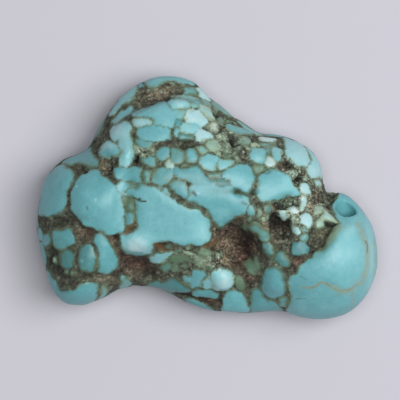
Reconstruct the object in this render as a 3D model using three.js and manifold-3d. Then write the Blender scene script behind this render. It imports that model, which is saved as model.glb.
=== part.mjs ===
// Turquoise nugget: one tumbled and drilled piece of cobbled turquoise in brown matrix.
// Lengths are in millimetres and +Z is up. The nugget rests on the flat patch worn on
// its underside, with its long side along X and its three lobes at -X, +X and +Y.
import * as THREE from "three";
import { mergeVertices } from "three/addons/utils/BufferGeometryUtils.js";
import Module from "manifold-3d";

// Body
const RIM_HEIGHT = 5.2; // mean height of the widest line above the table
const RIM_WAVE = 0.45; // that line rises this much at the three lobes, and dips between
const WAVE_TURN = 0.35; // radians from +X to the +X lobe's highest point
const CROWN_HEIGHT = 6.0; // plain body above that line
const KEEL_DEPTH = 5.75; // plain body below that line, before the patch is worn flat
const TOP_SHOULDER = 6.0; // distance in from the edge over which the top rounds up
const UNDER_SHOULDER = 7.0; // the same for the underside
const BOW_LENGTH = 30.0; // the underside bows up toward the edge: half length of the bow
const BOW_WIDTH = 21.0; // half width of the bow
const MIDDLE = new THREE.Vector2(0, -2.2); // every point of the outline is in view from here
const FACETS_PER_EDGE = 19; // fineness of the faceted skin

// Edge of the nugget seen from above, counter-clockwise from the +X lobe. The lobes
// meet in notches beside the drilled hole, at the upper left and at the lower left.
const EDGE_POINTS = [
  [18.3, -3.2], [17.3, -1.6], [15.9, -0.2], [14.7, 0.5], [13.5, 0.4],
  [13.1, 1.7], [12.5, 4.0], [10.8, 5.8], [8.5, 6.7], [6.0, 7.1],
  [4.0, 8.3], [2.0, 9.7], [0.2, 11.2], [-1.7, 12.9], [-4.2, 13.4],
  [-6.6, 13.0], [-9.2, 11.4], [-11.0, 9.2], [-12.4, 6.9], [-13.4, 5.2],
  [-16.0, 4.1], [-17.9, 2.1], [-18.7, -1.0], [-18.9, -3.4], [-18.2, -7.0],
  [-17.1, -10.4], [-15.8, -11.8], [-14.2, -12.1], [-12.3, -11.7], [-10.0, -10.5],
  [-6.9, -10.0], [-5.0, -10.4], [-2.0, -11.9], [0.5, -12.7], [4.2, -13.0],
  [8.3, -12.8], [10.0, -13.3], [12.5, -13.6], [15.7, -12.9], [17.6, -11.1],
  [18.8, -8.4], [18.9, -5.6],
];

// Swells (rise above 0) and hollows (rise below 0) of the top, each an oval:
// centre x, centre y, half length, half width, turn of its length from +X, rise.
const RELIEF = [
  [-3.0, 1.0, 11.0, 6.5, -12, 2.6], // high middle
  [14.6, -6.6, 5.0, 4.6, 0, 0.9], // dome of the +X lobe
  [-12.4, -0.6, 3.8, 3.2, -30, 0.9], // dome of the -X lobe
  [1.0, -11.0, 8.0, 2.8, -6, -2.2], // low shelf along the -Y side
  [-15.5, -6.6, 3.6, 2.6, 70, -0.9], // worn side of the -X lobe
  [-9.1, -0.6, 4.6, 1.1, 84, -0.7], // groove between the middle and the -X lobe
  [3.4, -6.0, 3.8, 2.0, -58, -3.3], // large brown cavity
  [-7.9, -7.4, 2.6, 1.4, -32, -2.4], // brown hollow at the lower left notch
  [8.0, -3.6, 1.7, 1.2, 70, -2.0], // rough crater
  [9.0, -0.6, 1.4, 0.7, 8, -1.2], // slot above the crater
  [13.9, -0.4, 1.5, 1.0, -35, -1.5], // hollow beside the drilled hole
  [12.7, -4.3, 2.3, 1.0, 52, -1.3], // foot of the +X lobe
];

// Ledge: the upper layer ends in this line and the skin beyond it, toward -X and +Y,
// lies lower. The line runs off the nugget at both ends.
const LEDGE_POINTS = [
  [-17.0, 7.5], [-13.4, 5.3], [-12.0, 5.3], [-11.0, 6.7], [-10.0, 8.0],
  [-8.4, 9.0], [-6.0, 10.0], [-3.4, 10.9], [-1.0, 10.7], [1.2, 9.7],
  [3.4, 8.1], [6.0, 6.9], [9.0, 8.0],
];
const LEDGE_DROP = 1.7;
const LEDGE_WIDTH = 0.8;

// Drilled hole through the +X lobe
const DRILL_RADIUS = 1.1;
const DRILL_LENGTH = 22.0;
const DRILL_SIDES = 24;
const DRILL_POINT = new THREE.Vector3(15.45, -1.5, 8.0);
const DRILL_AIM = new THREE.Vector3(-0.1, -0.8, -0.58).normalize();

const SKIN = { color: 0x69a3a4, roughness: 0.42, metalness: 0.0 };

const edge = new THREE.CatmullRomCurve3(
  EDGE_POINTS.map(([x, y]) => new THREE.Vector3(x, y, 0)), true, "centripetal");
edge.arcLengthDivisions = 1200;
const edgeLine = edge.getSpacedPoints(480);
const ledge = new THREE.CatmullRomCurve3(
  LEDGE_POINTS.map(([x, y]) => new THREE.Vector3(x, y, 0)), false, "centripetal");
const ledgeLine = ledge.getSpacedPoints(96);

// Distance from a point to a line of short straight steps, and the side it lies on.
function nearest(line, x, y) {
  const point = new THREE.Vector3(x, y, 0);
  const step = new THREE.Line3();
  const foot = new THREE.Vector3();
  let distance = Infinity;
  let side = 0;
  for (let i = 0; i + 1 < line.length; i += 1) {
    step.set(line[i], line[i + 1]);
    step.closestPointToPoint(point, true, foot);
    const gap = foot.distanceTo(point);
    if (gap < distance) {
      distance = gap;
      const along = step.delta(new THREE.Vector3());
      side = Math.sign(along.x * (y - foot.y) - along.y * (x - foot.x));
    }
  }
  return { distance, side };
}

// Quarter-round rise from 0 at the edge to 1 at the full shoulder width.
function shoulder(inset, width) {
  const rest = 1 - Math.min(inset / width, 1);
  return Math.sqrt(1 - rest * rest);
}

function oval(x, y, [cx, cy, halfLength, halfWidth, turn, rise]) {
  const offset = new THREE.Vector2(x - cx, y - cy);
  offset.rotateAround(new THREE.Vector2(), THREE.MathUtils.degToRad(-turn));
  const reach = (offset.x / halfLength) ** 2 + (offset.y / halfWidth) ** 2;
  return rise * Math.exp(-reach);
}

function ledgeStep(x, y) {
  const { distance, side } = nearest(ledgeLine, x, y);
  return THREE.MathUtils.smoothstep(side * distance, -LEDGE_WIDTH / 2, LEDGE_WIDTH / 2);
}

function rimHeight(x, y) {
  const offset = new THREE.Vector2(x, y).sub(MIDDLE);
  const reach = THREE.MathUtils.smoothstep(offset.length(), 0, 15);
  return RIM_HEIGHT + RIM_WAVE * reach * Math.cos(3 * (offset.angle() + WAVE_TURN));
}

function topHeight(x, y, inset) {
  const relief = RELIEF.reduce((sum, item) => sum + oval(x, y, item), 0);
  const crown = CROWN_HEIGHT + relief - LEDGE_DROP * ledgeStep(x, y);
  return rimHeight(x, y) + crown * shoulder(inset, TOP_SHOULDER);
}

function undersideHeight(x, y, inset) {
  const bow = ((x - MIDDLE.x) / BOW_LENGTH) ** 2 + ((y - MIDDLE.y) / BOW_WIDTH) ** 2;
  const keel = KEEL_DEPTH * (1 - bow);
  return Math.max(rimHeight(x, y) - keel * shoulder(inset, UNDER_SHOULDER), 0);
}

// The skin: a ball of even facets drawn out to the edge line and to the two heights.
function nuggetBody() {
  const ball = new THREE.IcosahedronGeometry(1, FACETS_PER_EDGE);
  ball.deleteAttribute("normal");
  ball.deleteAttribute("uv");
  const body = mergeVertices(ball, 1e-4);
  const position = body.getAttribute("position");
  const direction = new THREE.Vector3();
  for (let i = 0; i < position.count; i += 1) {
    direction.fromBufferAttribute(position, i).normalize();
    const turn = Math.atan2(direction.y, direction.x) / (2 * Math.PI);
    const rim = edge.getPointAt((turn + 1) % 1);
    const reach = Math.hypot(direction.x, direction.y);
    const x = THREE.MathUtils.lerp(MIDDLE.x, rim.x, reach);
    const y = THREE.MathUtils.lerp(MIDDLE.y, rim.y, reach);
    const inset = nearest(edgeLine, x, y).distance;
    const z = direction.z > 0 ? topHeight(x, y, inset) : undersideHeight(x, y, inset);
    position.setXYZ(i, x, y, z);
  }
  return body;
}

function drill() {
  const rod = new THREE.CylinderGeometry(DRILL_RADIUS, DRILL_RADIUS, DRILL_LENGTH, DRILL_SIDES);
  rod.deleteAttribute("normal");
  rod.deleteAttribute("uv");
  const upright = new THREE.Vector3(0, 1, 0);
  rod.applyQuaternion(new THREE.Quaternion().setFromUnitVectors(upright, DRILL_AIM));
  const middle = DRILL_POINT.clone().addScaledVector(DRILL_AIM, DRILL_LENGTH / 2 - 4);
  rod.translate(middle.x, middle.y, middle.z);
  return mergeVertices(rod, 1e-4);
}

const wasm = await Module();
wasm.setup();

function toSolid(geometry) {
  return new wasm.Manifold(new wasm.Mesh({
    numProp: 3,
    vertProperties: new Float32Array(geometry.getAttribute("position").array),
    triVerts: new Uint32Array(geometry.getIndex().array),
  }));
}

function toGeometry(solid) {
  const mesh = solid.getMesh();
  const geometry = new THREE.BufferGeometry();
  geometry.setAttribute("position", new THREE.BufferAttribute(mesh.vertProperties, 3));
  geometry.setIndex(new THREE.BufferAttribute(mesh.triVerts, 1));
  return geometry;
}

const nugget = toGeometry(toSolid(nuggetBody()).subtract(toSolid(drill())));

// The origin goes to the middle of the base.
nugget.computeBoundingBox();
const centre = nugget.boundingBox.getCenter(new THREE.Vector3());
nugget.translate(-centre.x, -centre.y, -nugget.boundingBox.min.z);
nugget.computeVertexNormals();

const stone = new THREE.Mesh(nugget, new THREE.MeshStandardMaterial(SKIN));
stone.name = "nugget";

const part = new THREE.Group();
part.name = "turquoise_nugget";
part.add(stone);

export default part;
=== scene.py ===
"""Turquoise nugget: a tumbled, drilled stone of blue cobbles in a brown matrix."""

import math

import bmesh
import bpy
import numpy as np
from bpy.props import FloatProperty, FloatVectorProperty, IntProperty, PointerProperty
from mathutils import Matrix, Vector


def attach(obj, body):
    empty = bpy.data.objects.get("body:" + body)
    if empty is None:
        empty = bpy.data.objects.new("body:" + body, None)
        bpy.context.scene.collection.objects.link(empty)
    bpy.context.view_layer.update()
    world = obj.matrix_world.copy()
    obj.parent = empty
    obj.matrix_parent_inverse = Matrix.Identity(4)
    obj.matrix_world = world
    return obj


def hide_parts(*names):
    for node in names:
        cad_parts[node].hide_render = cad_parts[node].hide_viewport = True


bl_info = {
    "name": "Turquoise Nugget",
    "version": (1, 0, 0),
    "blender": (4, 5, 0),
    "location": "View3D > Sidebar > Nugget",
    "description": "Builds a cobbled turquoise nugget and the table it lies on",
    "category": "Object",
}

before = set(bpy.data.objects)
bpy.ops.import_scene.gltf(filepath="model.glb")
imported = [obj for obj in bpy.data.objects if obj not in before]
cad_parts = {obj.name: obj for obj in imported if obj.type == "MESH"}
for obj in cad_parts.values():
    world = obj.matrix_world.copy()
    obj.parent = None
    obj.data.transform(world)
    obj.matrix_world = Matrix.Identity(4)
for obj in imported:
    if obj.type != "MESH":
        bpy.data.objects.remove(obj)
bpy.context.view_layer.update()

MM = 0.001  # metres in a millimetre; the stone is shaped in millimetres
SHIFT = np.array([-0.031, 0.104])  # from the drawing's zero to the frame's zero

# Blue cobbles seen from above, in millimetres: tone (-1 deep, 0 middle, 1 white),
# green (0 clear blue, 1 grey-green), then the corners of the outline.
COBBLES = [
    # -X lobe, upper part
    (0.03, 0.0, [(-19.6, -1.9), (-19.8, 0.3), (-19.2, 2.2), (-17.8, 3.9), (-16.4, 4.0), (-15.2, 3.2),
                 (-14.6, 2.1), (-15.0, 1.2), (-15.4, 0.5), (-15.5, -0.6), (-16.2, -1.7), (-17.5, -2.0)]),
    (-0.08, 0.2, [(-16.6, 4.6), (-15.2, 5.8), (-13.6, 6.0), (-12.7, 4.8), (-12.0, 3.9), (-12.0, 3.3),
                  (-12.9, 3.2), (-13.5, 3.7), (-14.6, 3.9), (-15.4, 3.4)]),
    (0.0, 0.0, [(-13.9, 2.1), (-13.2, 2.9), (-12.3, 3.1), (-11.8, 2.6), (-11.0, 1.8), (-10.2, 1.2),
                (-9.8, 0.6), (-9.3, -0.4), (-9.0, -1.6), (-9.0, -2.6), (-9.2, -3.6), (-9.6, -4.1),
                (-10.6, -4.2), (-11.6, -3.8), (-12.6, -3.4), (-13.6, -3.1), (-14.3, -2.4), (-14.7, -1.8),
                (-14.9, -0.8), (-14.95, 0.6), (-14.7, 1.3)]),
    # -X lobe, lower part
    (-0.15, 0.1, [(-17.0, -3.9), (-16.2, -3.8), (-15.2, -3.6), (-14.9, -4.2), (-14.6, -4.9),
                  (-15.0, -5.3), (-15.9, -5.8), (-16.8, -5.6), (-17.0, -4.7)]),
    (0.0, 0.0, [(-20.0, -3.9), (-18.7, -3.6), (-18.3, -4.1), (-18.5, -4.9), (-20.0, -5.1)]),
    (-0.1, 0.0, [(-18.0, -4.4), (-17.5, -4.1), (-17.3, -4.9), (-17.8, -5.4), (-18.2, -5.0)]),
    (-0.1, 0.0, [(-20.0, -5.4), (-18.5, -5.2), (-18.0, -6.0), (-18.0, -7.1), (-18.4, -7.6),
                 (-19.8, -7.4)]),
    (-0.45, 0.25, [(-16.3, -6.3), (-15.6, -6.0), (-14.9, -6.3), (-14.7, -7.1), (-15.0, -7.8),
                   (-15.6, -7.9), (-16.1, -7.4)]),
    (-0.3, 0.3, [(-13.9, -5.7), (-13.3, -5.4), (-12.6, -5.5), (-12.1, -6.3), (-12.1, -7.3),
                 (-12.5, -8.1), (-13.2, -8.3), (-13.9, -8.0), (-14.2, -7.2), (-14.0, -6.4)]),
    (-0.1, 0.0, [(-12.5, -4.8), (-11.9, -4.1), (-11.4, -4.3), (-10.9, -5.0), (-10.4, -5.8),
                 (-10.0, -6.6), (-9.7, -7.0), (-9.9, -7.6), (-10.5, -8.3), (-11.3, -8.4), (-11.9, -8.2),
                 (-11.9, -7.2), (-11.9, -6.2), (-12.2, -5.4)]),
    (-0.1, 0.05, [(-13.9, -9.9), (-13.2, -9.7), (-12.3, -9.6), (-11.9, -10.0), (-11.9, -10.8),
                  (-12.2, -12.0), (-12.9, -13.2), (-14.5, -13.6), (-16.6, -13.2), (-18.0, -12.0),
                  (-18.8, -10.4), (-18.9, -8.8), (-17.9, -8.5), (-17.2, -9.1), (-16.7, -9.9),
                  (-16.3, -10.5), (-15.5, -10.6), (-14.5, -10.4)]),
    (0.1, 0.3, [(-11.6, -10.1), (-11.1, -10.2), (-10.9, -10.9), (-11.2, -12.4), (-11.8, -12.6),
                (-11.9, -10.9)]),
    (0.0, 0.1, [(-9.4, -9.1), (-9.0, -9.0), (-8.5, -9.4), (-8.6, -10.6), (-9.1, -11.4), (-9.5, -10.6)]),
    # +Y lobe: outer rim and the layer under the ledge
    # tone raised to lighten the shade on this rim's north-west flank: painted light
    (0.28, 0.25, [(-11.8, 9.9), (-10.8, 11.6), (-9.6, 12.7), (-8.3, 13.2), (-8.0, 11.4), (-8.4, 10.8),
                  (-9.3, 10.3), (-9.9, 9.8), (-10.4, 9.3), (-11.0, 9.2)]),
    (0.2, 0.1, [(-10.5, 8.3), (-9.6, 9.2), (-8.9, 9.6), (-8.3, 9.8), (-8.35, 9.4), (-9.0, 9.0),
                (-9.7, 8.4), (-10.2, 8.0)]),
    (0.12, 0.25, [(-7.4, 14.2), (-5.2, 15.0), (-3.8, 15.0), (-1.8, 14.4), (-0.9, 13.2), (-1.5, 12.6),
                  (-2.5, 12.7), (-3.2, 12.75), (-4.2, 12.85), (-5.1, 12.5), (-6.0, 12.1), (-6.6, 12.4)]),
    (0.0, 0.35, [(-2.4, 12.0), (-1.8, 12.1), (-1.1, 12.0), (-0.9, 11.6), (-1.3, 11.2), (-2.2, 11.3)]),
    (0.65, 0.1, [(-1.0, 12.1), (0.3, 12.8), (1.2, 11.8), (0.9, 10.9), (0.1, 10.9), (-0.5, 11.1),
                 (-0.9, 11.5)]),
    (0.25, 0.25, [(-3.9, 11.05), (-2.9, 11.15), (-2.3, 11.3), (-1.2, 11.05), (-0.8, 10.75), (-1.9, 10.8),
                  (-2.7, 10.95)]),
    (0.1, 0.45, [(-0.6, 10.8), (0.4, 10.3), (0.3, 10.05), (-0.7, 10.5)]),
    # +Y lobe: upper layer
    (0.3, 0.0, [(-4.1, 10.5), (-3.4, 10.95), (-2.6, 10.9), (-2.1, 10.5), (-1.9, 10.1), (-2.3, 9.8),
                (-3.2, 9.7), (-3.9, 9.7), (-4.3, 10.1)]),
    (0.15, 0.0, [(-8.2, 9.1), (-7.3, 9.5), (-6.2, 9.9), (-5.2, 10.3), (-4.3, 10.3), (-3.9, 9.6),
                 (-3.6, 8.9), (-3.5, 8.1), (-3.8, 7.7), (-4.5, 7.7), (-5.1, 8.0), (-5.7, 8.0),
                 (-6.0, 8.4), (-6.8, 8.6), (-7.8, 8.8)]),
    (0.5, 0.1, [(-7.95, 8.4), (-7.2, 8.6), (-6.3, 8.5), (-5.9, 8.2), (-6.3, 7.9), (-7.2, 7.8),
                (-7.9, 7.9)]),
    (0.05, 0.0, [(-7.6, 7.0), (-7.1, 7.7), (-6.0, 7.75), (-5.1, 7.7), (-4.3, 7.6), (-3.95, 7.1),
                 (-3.9, 6.5), (-4.6, 6.2), (-5.6, 6.1), (-6.6, 6.2), (-7.3, 6.4)]),
    (-0.1, 0.4, [(-7.8, 6.3), (-6.9, 6.1), (-6.0, 6.0), (-6.2, 5.6), (-6.9, 5.4), (-7.6, 5.6)]),
    (0.4, 0.0, [(-10.6, 7.2), (-9.9, 8.1), (-8.9, 8.25), (-8.4, 7.7), (-8.55, 6.8), (-8.2, 6.0),
                (-8.05, 5.3), (-8.35, 4.6), (-8.6, 3.9), (-8.7, 3.2), (-9.3, 3.4), (-9.6, 4.2),
                (-9.4, 4.9), (-9.6, 5.5), (-9.7, 6.2), (-10.3, 6.3)]),
    (0.25, 0.0, [(-11.9, 5.0), (-11.3, 5.8), (-10.7, 6.0), (-10.1, 5.7), (-9.7, 5.3), (-9.2, 4.9),
                 (-9.9, 4.5), (-10.6, 4.5), (-11.4, 4.3), (-11.8, 4.6)]),
    (0.15, 0.35, [(-3.7, 9.4), (-3.1, 9.6), (-2.5, 9.5), (-2.4, 9.0), (-2.7, 8.6), (-3.4, 8.5),
                  (-3.6, 8.9)]),
    (0.65, 0.0, [(-1.9, 9.4), (-1.2, 9.6), (-0.6, 9.2), (-0.15, 8.7), (0.1, 8.2), (-0.3, 8.0),
                 (-1.2, 8.0), (-1.9, 8.1), (-2.2, 8.5), (-2.3, 9.0)]),
    (0.35, 0.0, [(-2.9, 7.5), (-2.4, 7.95), (-1.6, 8.05), (-0.9, 8.0), (-0.7, 7.3), (-1.4, 6.9),
                 (-2.3, 6.9), (-2.9, 7.1)]),
    (0.65, 0.0, [(-1.2, 7.3), (-0.4, 7.6), (0.2, 7.2), (0.6, 6.6), (0.2, 6.1), (-0.8, 6.1), (-1.3, 6.5)]),
    (0.1, 0.0, [(-3.5, 7.4), (-3.1, 7.5), (-2.9, 7.0), (-3.1, 6.7), (-3.4, 6.9)]),
    (0.5, 0.45, [(-0.6, 10.2), (0.1, 9.9), (0.7, 9.3), (0.9, 8.8), (0.7, 8.4), (0.1, 8.7), (-0.3, 9.2),
                 (-0.6, 9.7)]),
    (0.85, 0.3, [(0.6, 8.1), (1.1, 8.0), (1.3, 7.4), (1.0, 7.1), (0.6, 7.4)]),
    (0.35, 0.65, [(0.1, 6.3), (0.7, 6.3), (1.3, 5.9), (1.6, 5.3), (1.2, 5.1), (0.5, 5.2), (0.1, 5.6)]),
    (0.15, 0.55, [(-1.2, 5.2), (-0.7, 5.5), (-0.1, 5.3), (0.1, 4.9), (-0.3, 4.65), (-0.9, 4.8)]),
    (0.3, 0.95, [(1.4, 7.0), (2.1, 6.9), (2.3, 6.3), (1.8, 6.1), (1.3, 6.4)]),
    (0.12, 0.95, [(1.9, 6.0), (2.5, 5.9), (2.6, 5.4), (2.0, 5.3)]),
    (0.0, 0.9, [(1.7, 5.2), (2.4, 5.3), (2.8, 5.0), (2.2, 4.8)]),
    (-0.05, 0.8, [(1.3, 8.9), (1.8, 8.8), (1.9, 8.2), (1.4, 8.0)]),
    (0.05, 0.25, [(2.3, 8.0), (3.2, 8.1), (3.9, 7.7), (4.6, 7.5), (5.2, 7.4), (5.1, 7.0), (4.4, 6.8),
                  (3.6, 6.8), (3.0, 7.1), (2.4, 7.4)]),
    (0.05, 0.5, [(0.9, 9.7), (1.5, 9.15), (2.2, 9.1), (3.3, 9.6), (3.4, 11.4), (1.6, 12.2), (0.9, 10.9)]),
    (0.2, 0.35, [(4.0, 9.2), (6.4, 8.2), (6.0, 7.3), (5.2, 7.6), (4.2, 8.0)]),
    (0.15, 0.6, [(3.6, 6.5), (4.4, 6.6), (4.8, 6.2), (4.4, 5.7), (3.8, 5.7)]),
    (0.8, 0.15, [(5.9, 6.6), (6.4, 6.9), (7.3, 6.9), (7.8, 6.5), (7.5, 6.15), (6.9, 6.1), (6.1, 6.2)]),
    (0.6, 0.6, [(5.0, 5.8), (5.6, 5.8), (5.8, 5.5), (5.2, 5.45)]),
    # +Y and +X side, down to the notch
    (0.15, 0.1, [(5.0, 5.2), (5.8, 5.4), (6.4, 5.2), (6.55, 4.6), (6.5, 4.0), (6.0, 3.7), (5.3, 3.75),
                 (4.9, 4.2)]),
    (0.75, 0.3, [(6.7, 4.3), (7.1, 4.3), (7.5, 4.0), (7.4, 3.5), (6.9, 3.4), (6.6, 3.8)]),
    (0.3, 0.1, [(7.2, 5.5), (7.9, 5.4), (8.3, 4.9), (8.2, 4.2), (7.8, 4.0), (7.4, 4.4), (7.1, 4.9)]),
    (0.5, 0.0, [(8.9, 7.8), (10.2, 7.6), (11.6, 7.0), (11.55, 5.3), (11.35, 4.6), (11.5, 3.9),
                (11.1, 3.3), (10.5, 3.3), (9.9, 3.6), (9.4, 4.1), (8.85, 4.4), (8.8, 5.1)]),
    (0.4, 0.05, [(11.8, 6.9), (13.4, 5.6), (14.4, 4.0), (14.4, 2.6), (13.2, 2.1), (12.3, 2.0),
                 (11.5, 2.3), (11.0, 2.8), (11.3, 3.2), (11.65, 3.9), (11.65, 4.8)]),
    (0.47, 0.3, [(12.0, 1.7), (12.7, 1.9), (13.2, 1.5), (12.6, 1.2), (12.2, 1.2)]),
    (0.1, 0.0, [(5.65, 0.2), (5.6, 1.2), (5.8, 2.1), (6.4, 2.6), (7.1, 2.9), (7.7, 2.85), (8.5, 2.6),
                (9.1, 2.3), (9.4, 1.8), (9.6, 1.3), (9.8, 1.0), (10.2, 0.6), (10.2, 0.2), (9.6, 0.1),
                (9.0, 0.15), (8.2, -0.4), (7.4, -0.5), (6.6, -0.5), (6.0, -0.4)]),
    (0.6, 0.1, [(10.3, 1.1), (10.8, 1.5), (11.2, 1.3), (11.6, 0.7), (11.6, 0.3), (11.2, 0.1),
                (10.7, 0.4)]),
    (0.7, 0.2, [(10.4, -0.1), (10.9, 0.1), (11.1, -0.4), (10.9, -0.9), (10.6, -1.4), (10.2, -1.4),
                (10.35, -0.6)]),
    (0.95, 0.0, [(8.9, -1.2), (9.6, -1.1), (10.0, -1.5), (9.9, -1.9), (9.2, -1.9), (8.9, -1.6)]),
    (0.7, 0.05, [(8.1, -1.7), (8.8, -1.6), (9.2, -2.0), (9.0, -2.4), (8.4, -2.6), (8.1, -2.2)]),
    (0.6, 0.1, [(10.3, -2.3), (10.8, -1.9), (11.3, -2.0), (11.6, -2.5), (11.5, -3.1), (11.1, -3.4),
                (10.7, -3.0), (10.2, -2.8)]),
    (0.6, 0.2, [(9.2, -3.2), (9.7, -3.1), (10.2, -3.6), (10.3, -4.1), (9.9, -4.2), (9.5, -3.9)]),
    (-0.05, 0.45, [(10.3, -4.3), (10.9, -4.1), (11.2, -4.4), (11.0, -4.8), (10.5, -4.8)]),
    (0.5, 0.75, [(12.1, -1.1), (12.6, -1.0), (12.8, -1.5), (12.5, -1.9), (12.0, -1.8)]),
    (0.5, 0.5, [(12.9, -1.3), (13.6, -1.8), (14.4, -2.3), (13.6, -2.4), (13.0, -2.6), (12.8, -3.2),
                (12.3, -3.4), (12.2, -2.8), (12.6, -2.3), (13.0, -1.9)]),
    (0.35, 0.5, [(9.1, 2.7), (9.8, 2.9), (10.1, 2.5), (9.8, 2.1)]),
    # high middle
    (-0.05, 0.0, [(-10.1, 2.9), (-9.2, 3.3), (-8.5, 3.1), (-7.9, 3.2), (-7.2, 3.0), (-7.3, 2.3),
                  (-7.0, 1.8), (-7.2, 1.5), (-8.2, 1.6), (-9.2, 1.8), (-9.9, 2.2)]),
    (-0.1, 0.2, [(-7.0, 2.7), (-6.5, 2.9), (-6.2, 2.4), (-6.2, 1.7), (-6.7, 1.5), (-7.0, 1.9)]),
    (-0.1, 0.25, [(-5.9, 2.6), (-5.3, 2.9), (-4.6, 2.9), (-3.8, 2.8), (-3.7, 2.1), (-3.9, 1.6),
                  (-4.6, 1.4), (-5.4, 1.4), (-6.0, 1.7)]),
    (-0.05, 0.2, [(-7.2, 4.1), (-6.6, 4.3), (-5.9, 4.2), (-5.7, 3.7), (-5.9, 3.4), (-6.6, 3.6)]),
    (-0.1, 0.15, [(-5.4, 4.7), (-5.1, 5.2), (-4.2, 5.2), (-4.0, 4.6), (-4.3, 4.2), (-5.1, 4.2)]),
    (-0.15, 0.45, [(-3.9, 5.1), (-3.0, 5.2), (-2.5, 4.8), (-2.4, 4.2), (-2.8, 3.7), (-3.4, 3.7),
                   (-3.8, 4.1), (-3.95, 4.6)]),
    (-0.05, 0.1, [(-2.3, 4.7), (-1.9, 5.2), (-1.2, 5.2), (-0.9, 4.6), (-1.0, 4.0), (-1.5, 3.7),
                  (-2.1, 3.9)]),
    (0.15, 0.0, [(-0.8, 3.9), (-0.5, 4.4), (0.3, 4.6), (1.0, 4.4), (1.3, 3.9), (1.2, 3.2), (0.9, 3.0),
                 (0.2, 2.95), (-0.5, 3.2)]),
    (0.2, 0.0, [(1.3, 3.9), (2.2, 4.0), (2.9, 3.9), (2.9, 3.4), (2.0, 3.15), (1.2, 3.2)]),
    (-0.15, 0.35, [(0.1, 2.55), (1.0, 2.6), (1.6, 2.5), (1.5, 2.15), (0.8, 2.1), (0.2, 2.25)]),
    (-0.18, 0.0, [(-3.5, 2.4), (-3.4, 3.0), (-2.5, 2.95), (-1.8, 3.15), (-1.0, 3.3), (-0.5, 2.8),
                  (-0.1, 2.1), (0.4, 1.7), (0.9, 1.45), (0.0, 1.2), (-1.2, 1.35), (-2.0, 1.75),
                  (-2.8, 2.05)]),
    (-0.15, 0.0, [(-4.0, 1.5), (-3.1, 1.85), (-2.4, 1.55), (-2.2, 1.0), (-1.9, 0.4), (-2.3, -0.2),
                  (-2.8, 0.0), (-3.3, 0.4), (-3.9, 0.8)]),
    (-0.06, 0.0, [(-1.9, 0.9), (-1.0, 1.15), (0.5, 1.2), (1.6, 1.0), (2.8, 0.9), (3.0, 0.2), (4.2, 0.0),
                  (4.6, -0.5), (4.4, -1.4), (3.9, -2.1), (3.0, -2.3), (2.3, -2.8), (1.8, -3.35),
                  (1.3, -3.2), (0.8, -2.5), (0.4, -2.0), (0.15, -1.5), (-0.4, -1.0), (-1.2, -0.75),
                  (-2.1, -0.5), (-1.9, 0.2)]),
    (-0.38, 0.5, [(0.2, 1.8), (1.0, 1.85), (1.9, 1.7), (2.7, 1.2), (1.8, 1.15), (0.8, 1.35)]),
    (0.05, 0.0, [(1.7, 2.3), (2.3, 2.9), (3.0, 3.35), (3.9, 3.5), (4.7, 3.3), (5.0, 2.8), (5.3, 2.2),
                 (5.1, 1.4), (4.8, 0.8), (4.2, 0.55), (3.5, 1.0), (3.0, 1.3), (2.5, 1.8)]),
    (0.05, 0.0, [(-9.1, 1.0), (-8.2, 1.4), (-7.2, 1.2), (-6.2, 1.0), (-5.2, 1.0), (-4.4, 0.8),
                 (-3.8, 0.1), (-3.2, -0.4), (-2.7, -0.9), (-1.9, -1.15), (-1.0, -1.3), (-0.5, -1.9),
                 (0.0, -2.4), (0.4, -3.0), (0.3, -3.7), (0.5, -4.2), (0.2, -4.9), (-0.8, -5.4),
                 (-1.6, -5.1), (-2.4, -5.5), (-3.1, -5.2), (-4.0, -5.0), (-5.0, -5.0), (-5.85, -5.15),
                 (-6.0, -5.7), (-6.4, -6.5), (-7.3, -6.6), (-8.4, -6.3), (-9.2, -5.8), (-9.6, -5.0),
                 (-9.5, -4.4), (-8.9, -4.2), (-7.9, -4.0), (-7.5, -3.2), (-7.7, -2.3), (-7.9, -1.3),
                 (-8.1, -0.7), (-8.9, 0.0)]),
    (0.35, 0.0, [(-6.35, -6.95), (-5.8, -6.75), (-5.1, -6.8), (-4.5, -6.6), (-4.0, -6.5), (-4.3, -7.0),
                 (-4.9, -7.4), (-5.6, -7.55), (-6.2, -7.35)]),
    # -Y shelf
    (-0.2, 0.85, [(-4.1, -7.2), (-3.4, -6.95), (-2.4, -6.9), (-2.0, -7.2), (-2.7, -7.5), (-3.6, -7.5)]),
    (0.25, 0.8, [(-1.5, -7.1), (-0.9, -6.8), (-0.3, -7.0), (-0.2, -7.4), (-0.7, -7.7), (-1.3, -7.6)]),
    (0.1, 0.8, [(-0.7, -6.3), (-0.1, -6.0), (0.5, -6.1), (0.6, -6.5), (0.0, -6.7), (-0.6, -6.7)]),
    (-0.3, 1.0, [(1.35, -6.2), (1.75, -6.1), (1.8, -6.6), (1.4, -6.7)]),
    (-0.45, 0.25, [(-5.9, -9.5), (-5.0, -9.6), (-4.1, -9.2), (-3.2, -9.4), (-2.3, -9.9), (-1.9, -10.4),
                   (-2.5, -10.9), (-3.4, -11.0), (-4.4, -11.4), (-5.6, -11.6), (-6.6, -10.9)]),
    (0.0, 0.05, [(-2.5, -9.0), (-1.8, -8.9), (-1.3, -8.4), (-0.5, -8.3), (-0.1, -8.8), (-0.3, -9.6),
                 (-0.6, -10.0), (-1.4, -10.1), (-2.1, -9.8)]),
    (0.3, 0.0, [(-0.2, -9.0), (0.5, -9.0), (0.7, -9.9), (0.0, -10.1), (-0.4, -9.7)]),
    (0.38, 0.05, [(0.6, -8.6), (1.3, -8.1), (2.1, -8.1), (2.7, -8.5), (2.9, -9.2), (2.7, -9.9),
                  (2.1, -10.3), (1.2, -10.2), (0.6, -9.9)]),
    (-0.2, 0.2, [(-1.6, -10.9), (-1.0, -10.4), (0.2, -10.4), (1.1, -10.7), (1.3, -11.1), (0.6, -11.3),
                 (-0.6, -11.2), (-1.3, -11.3)]),
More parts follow.
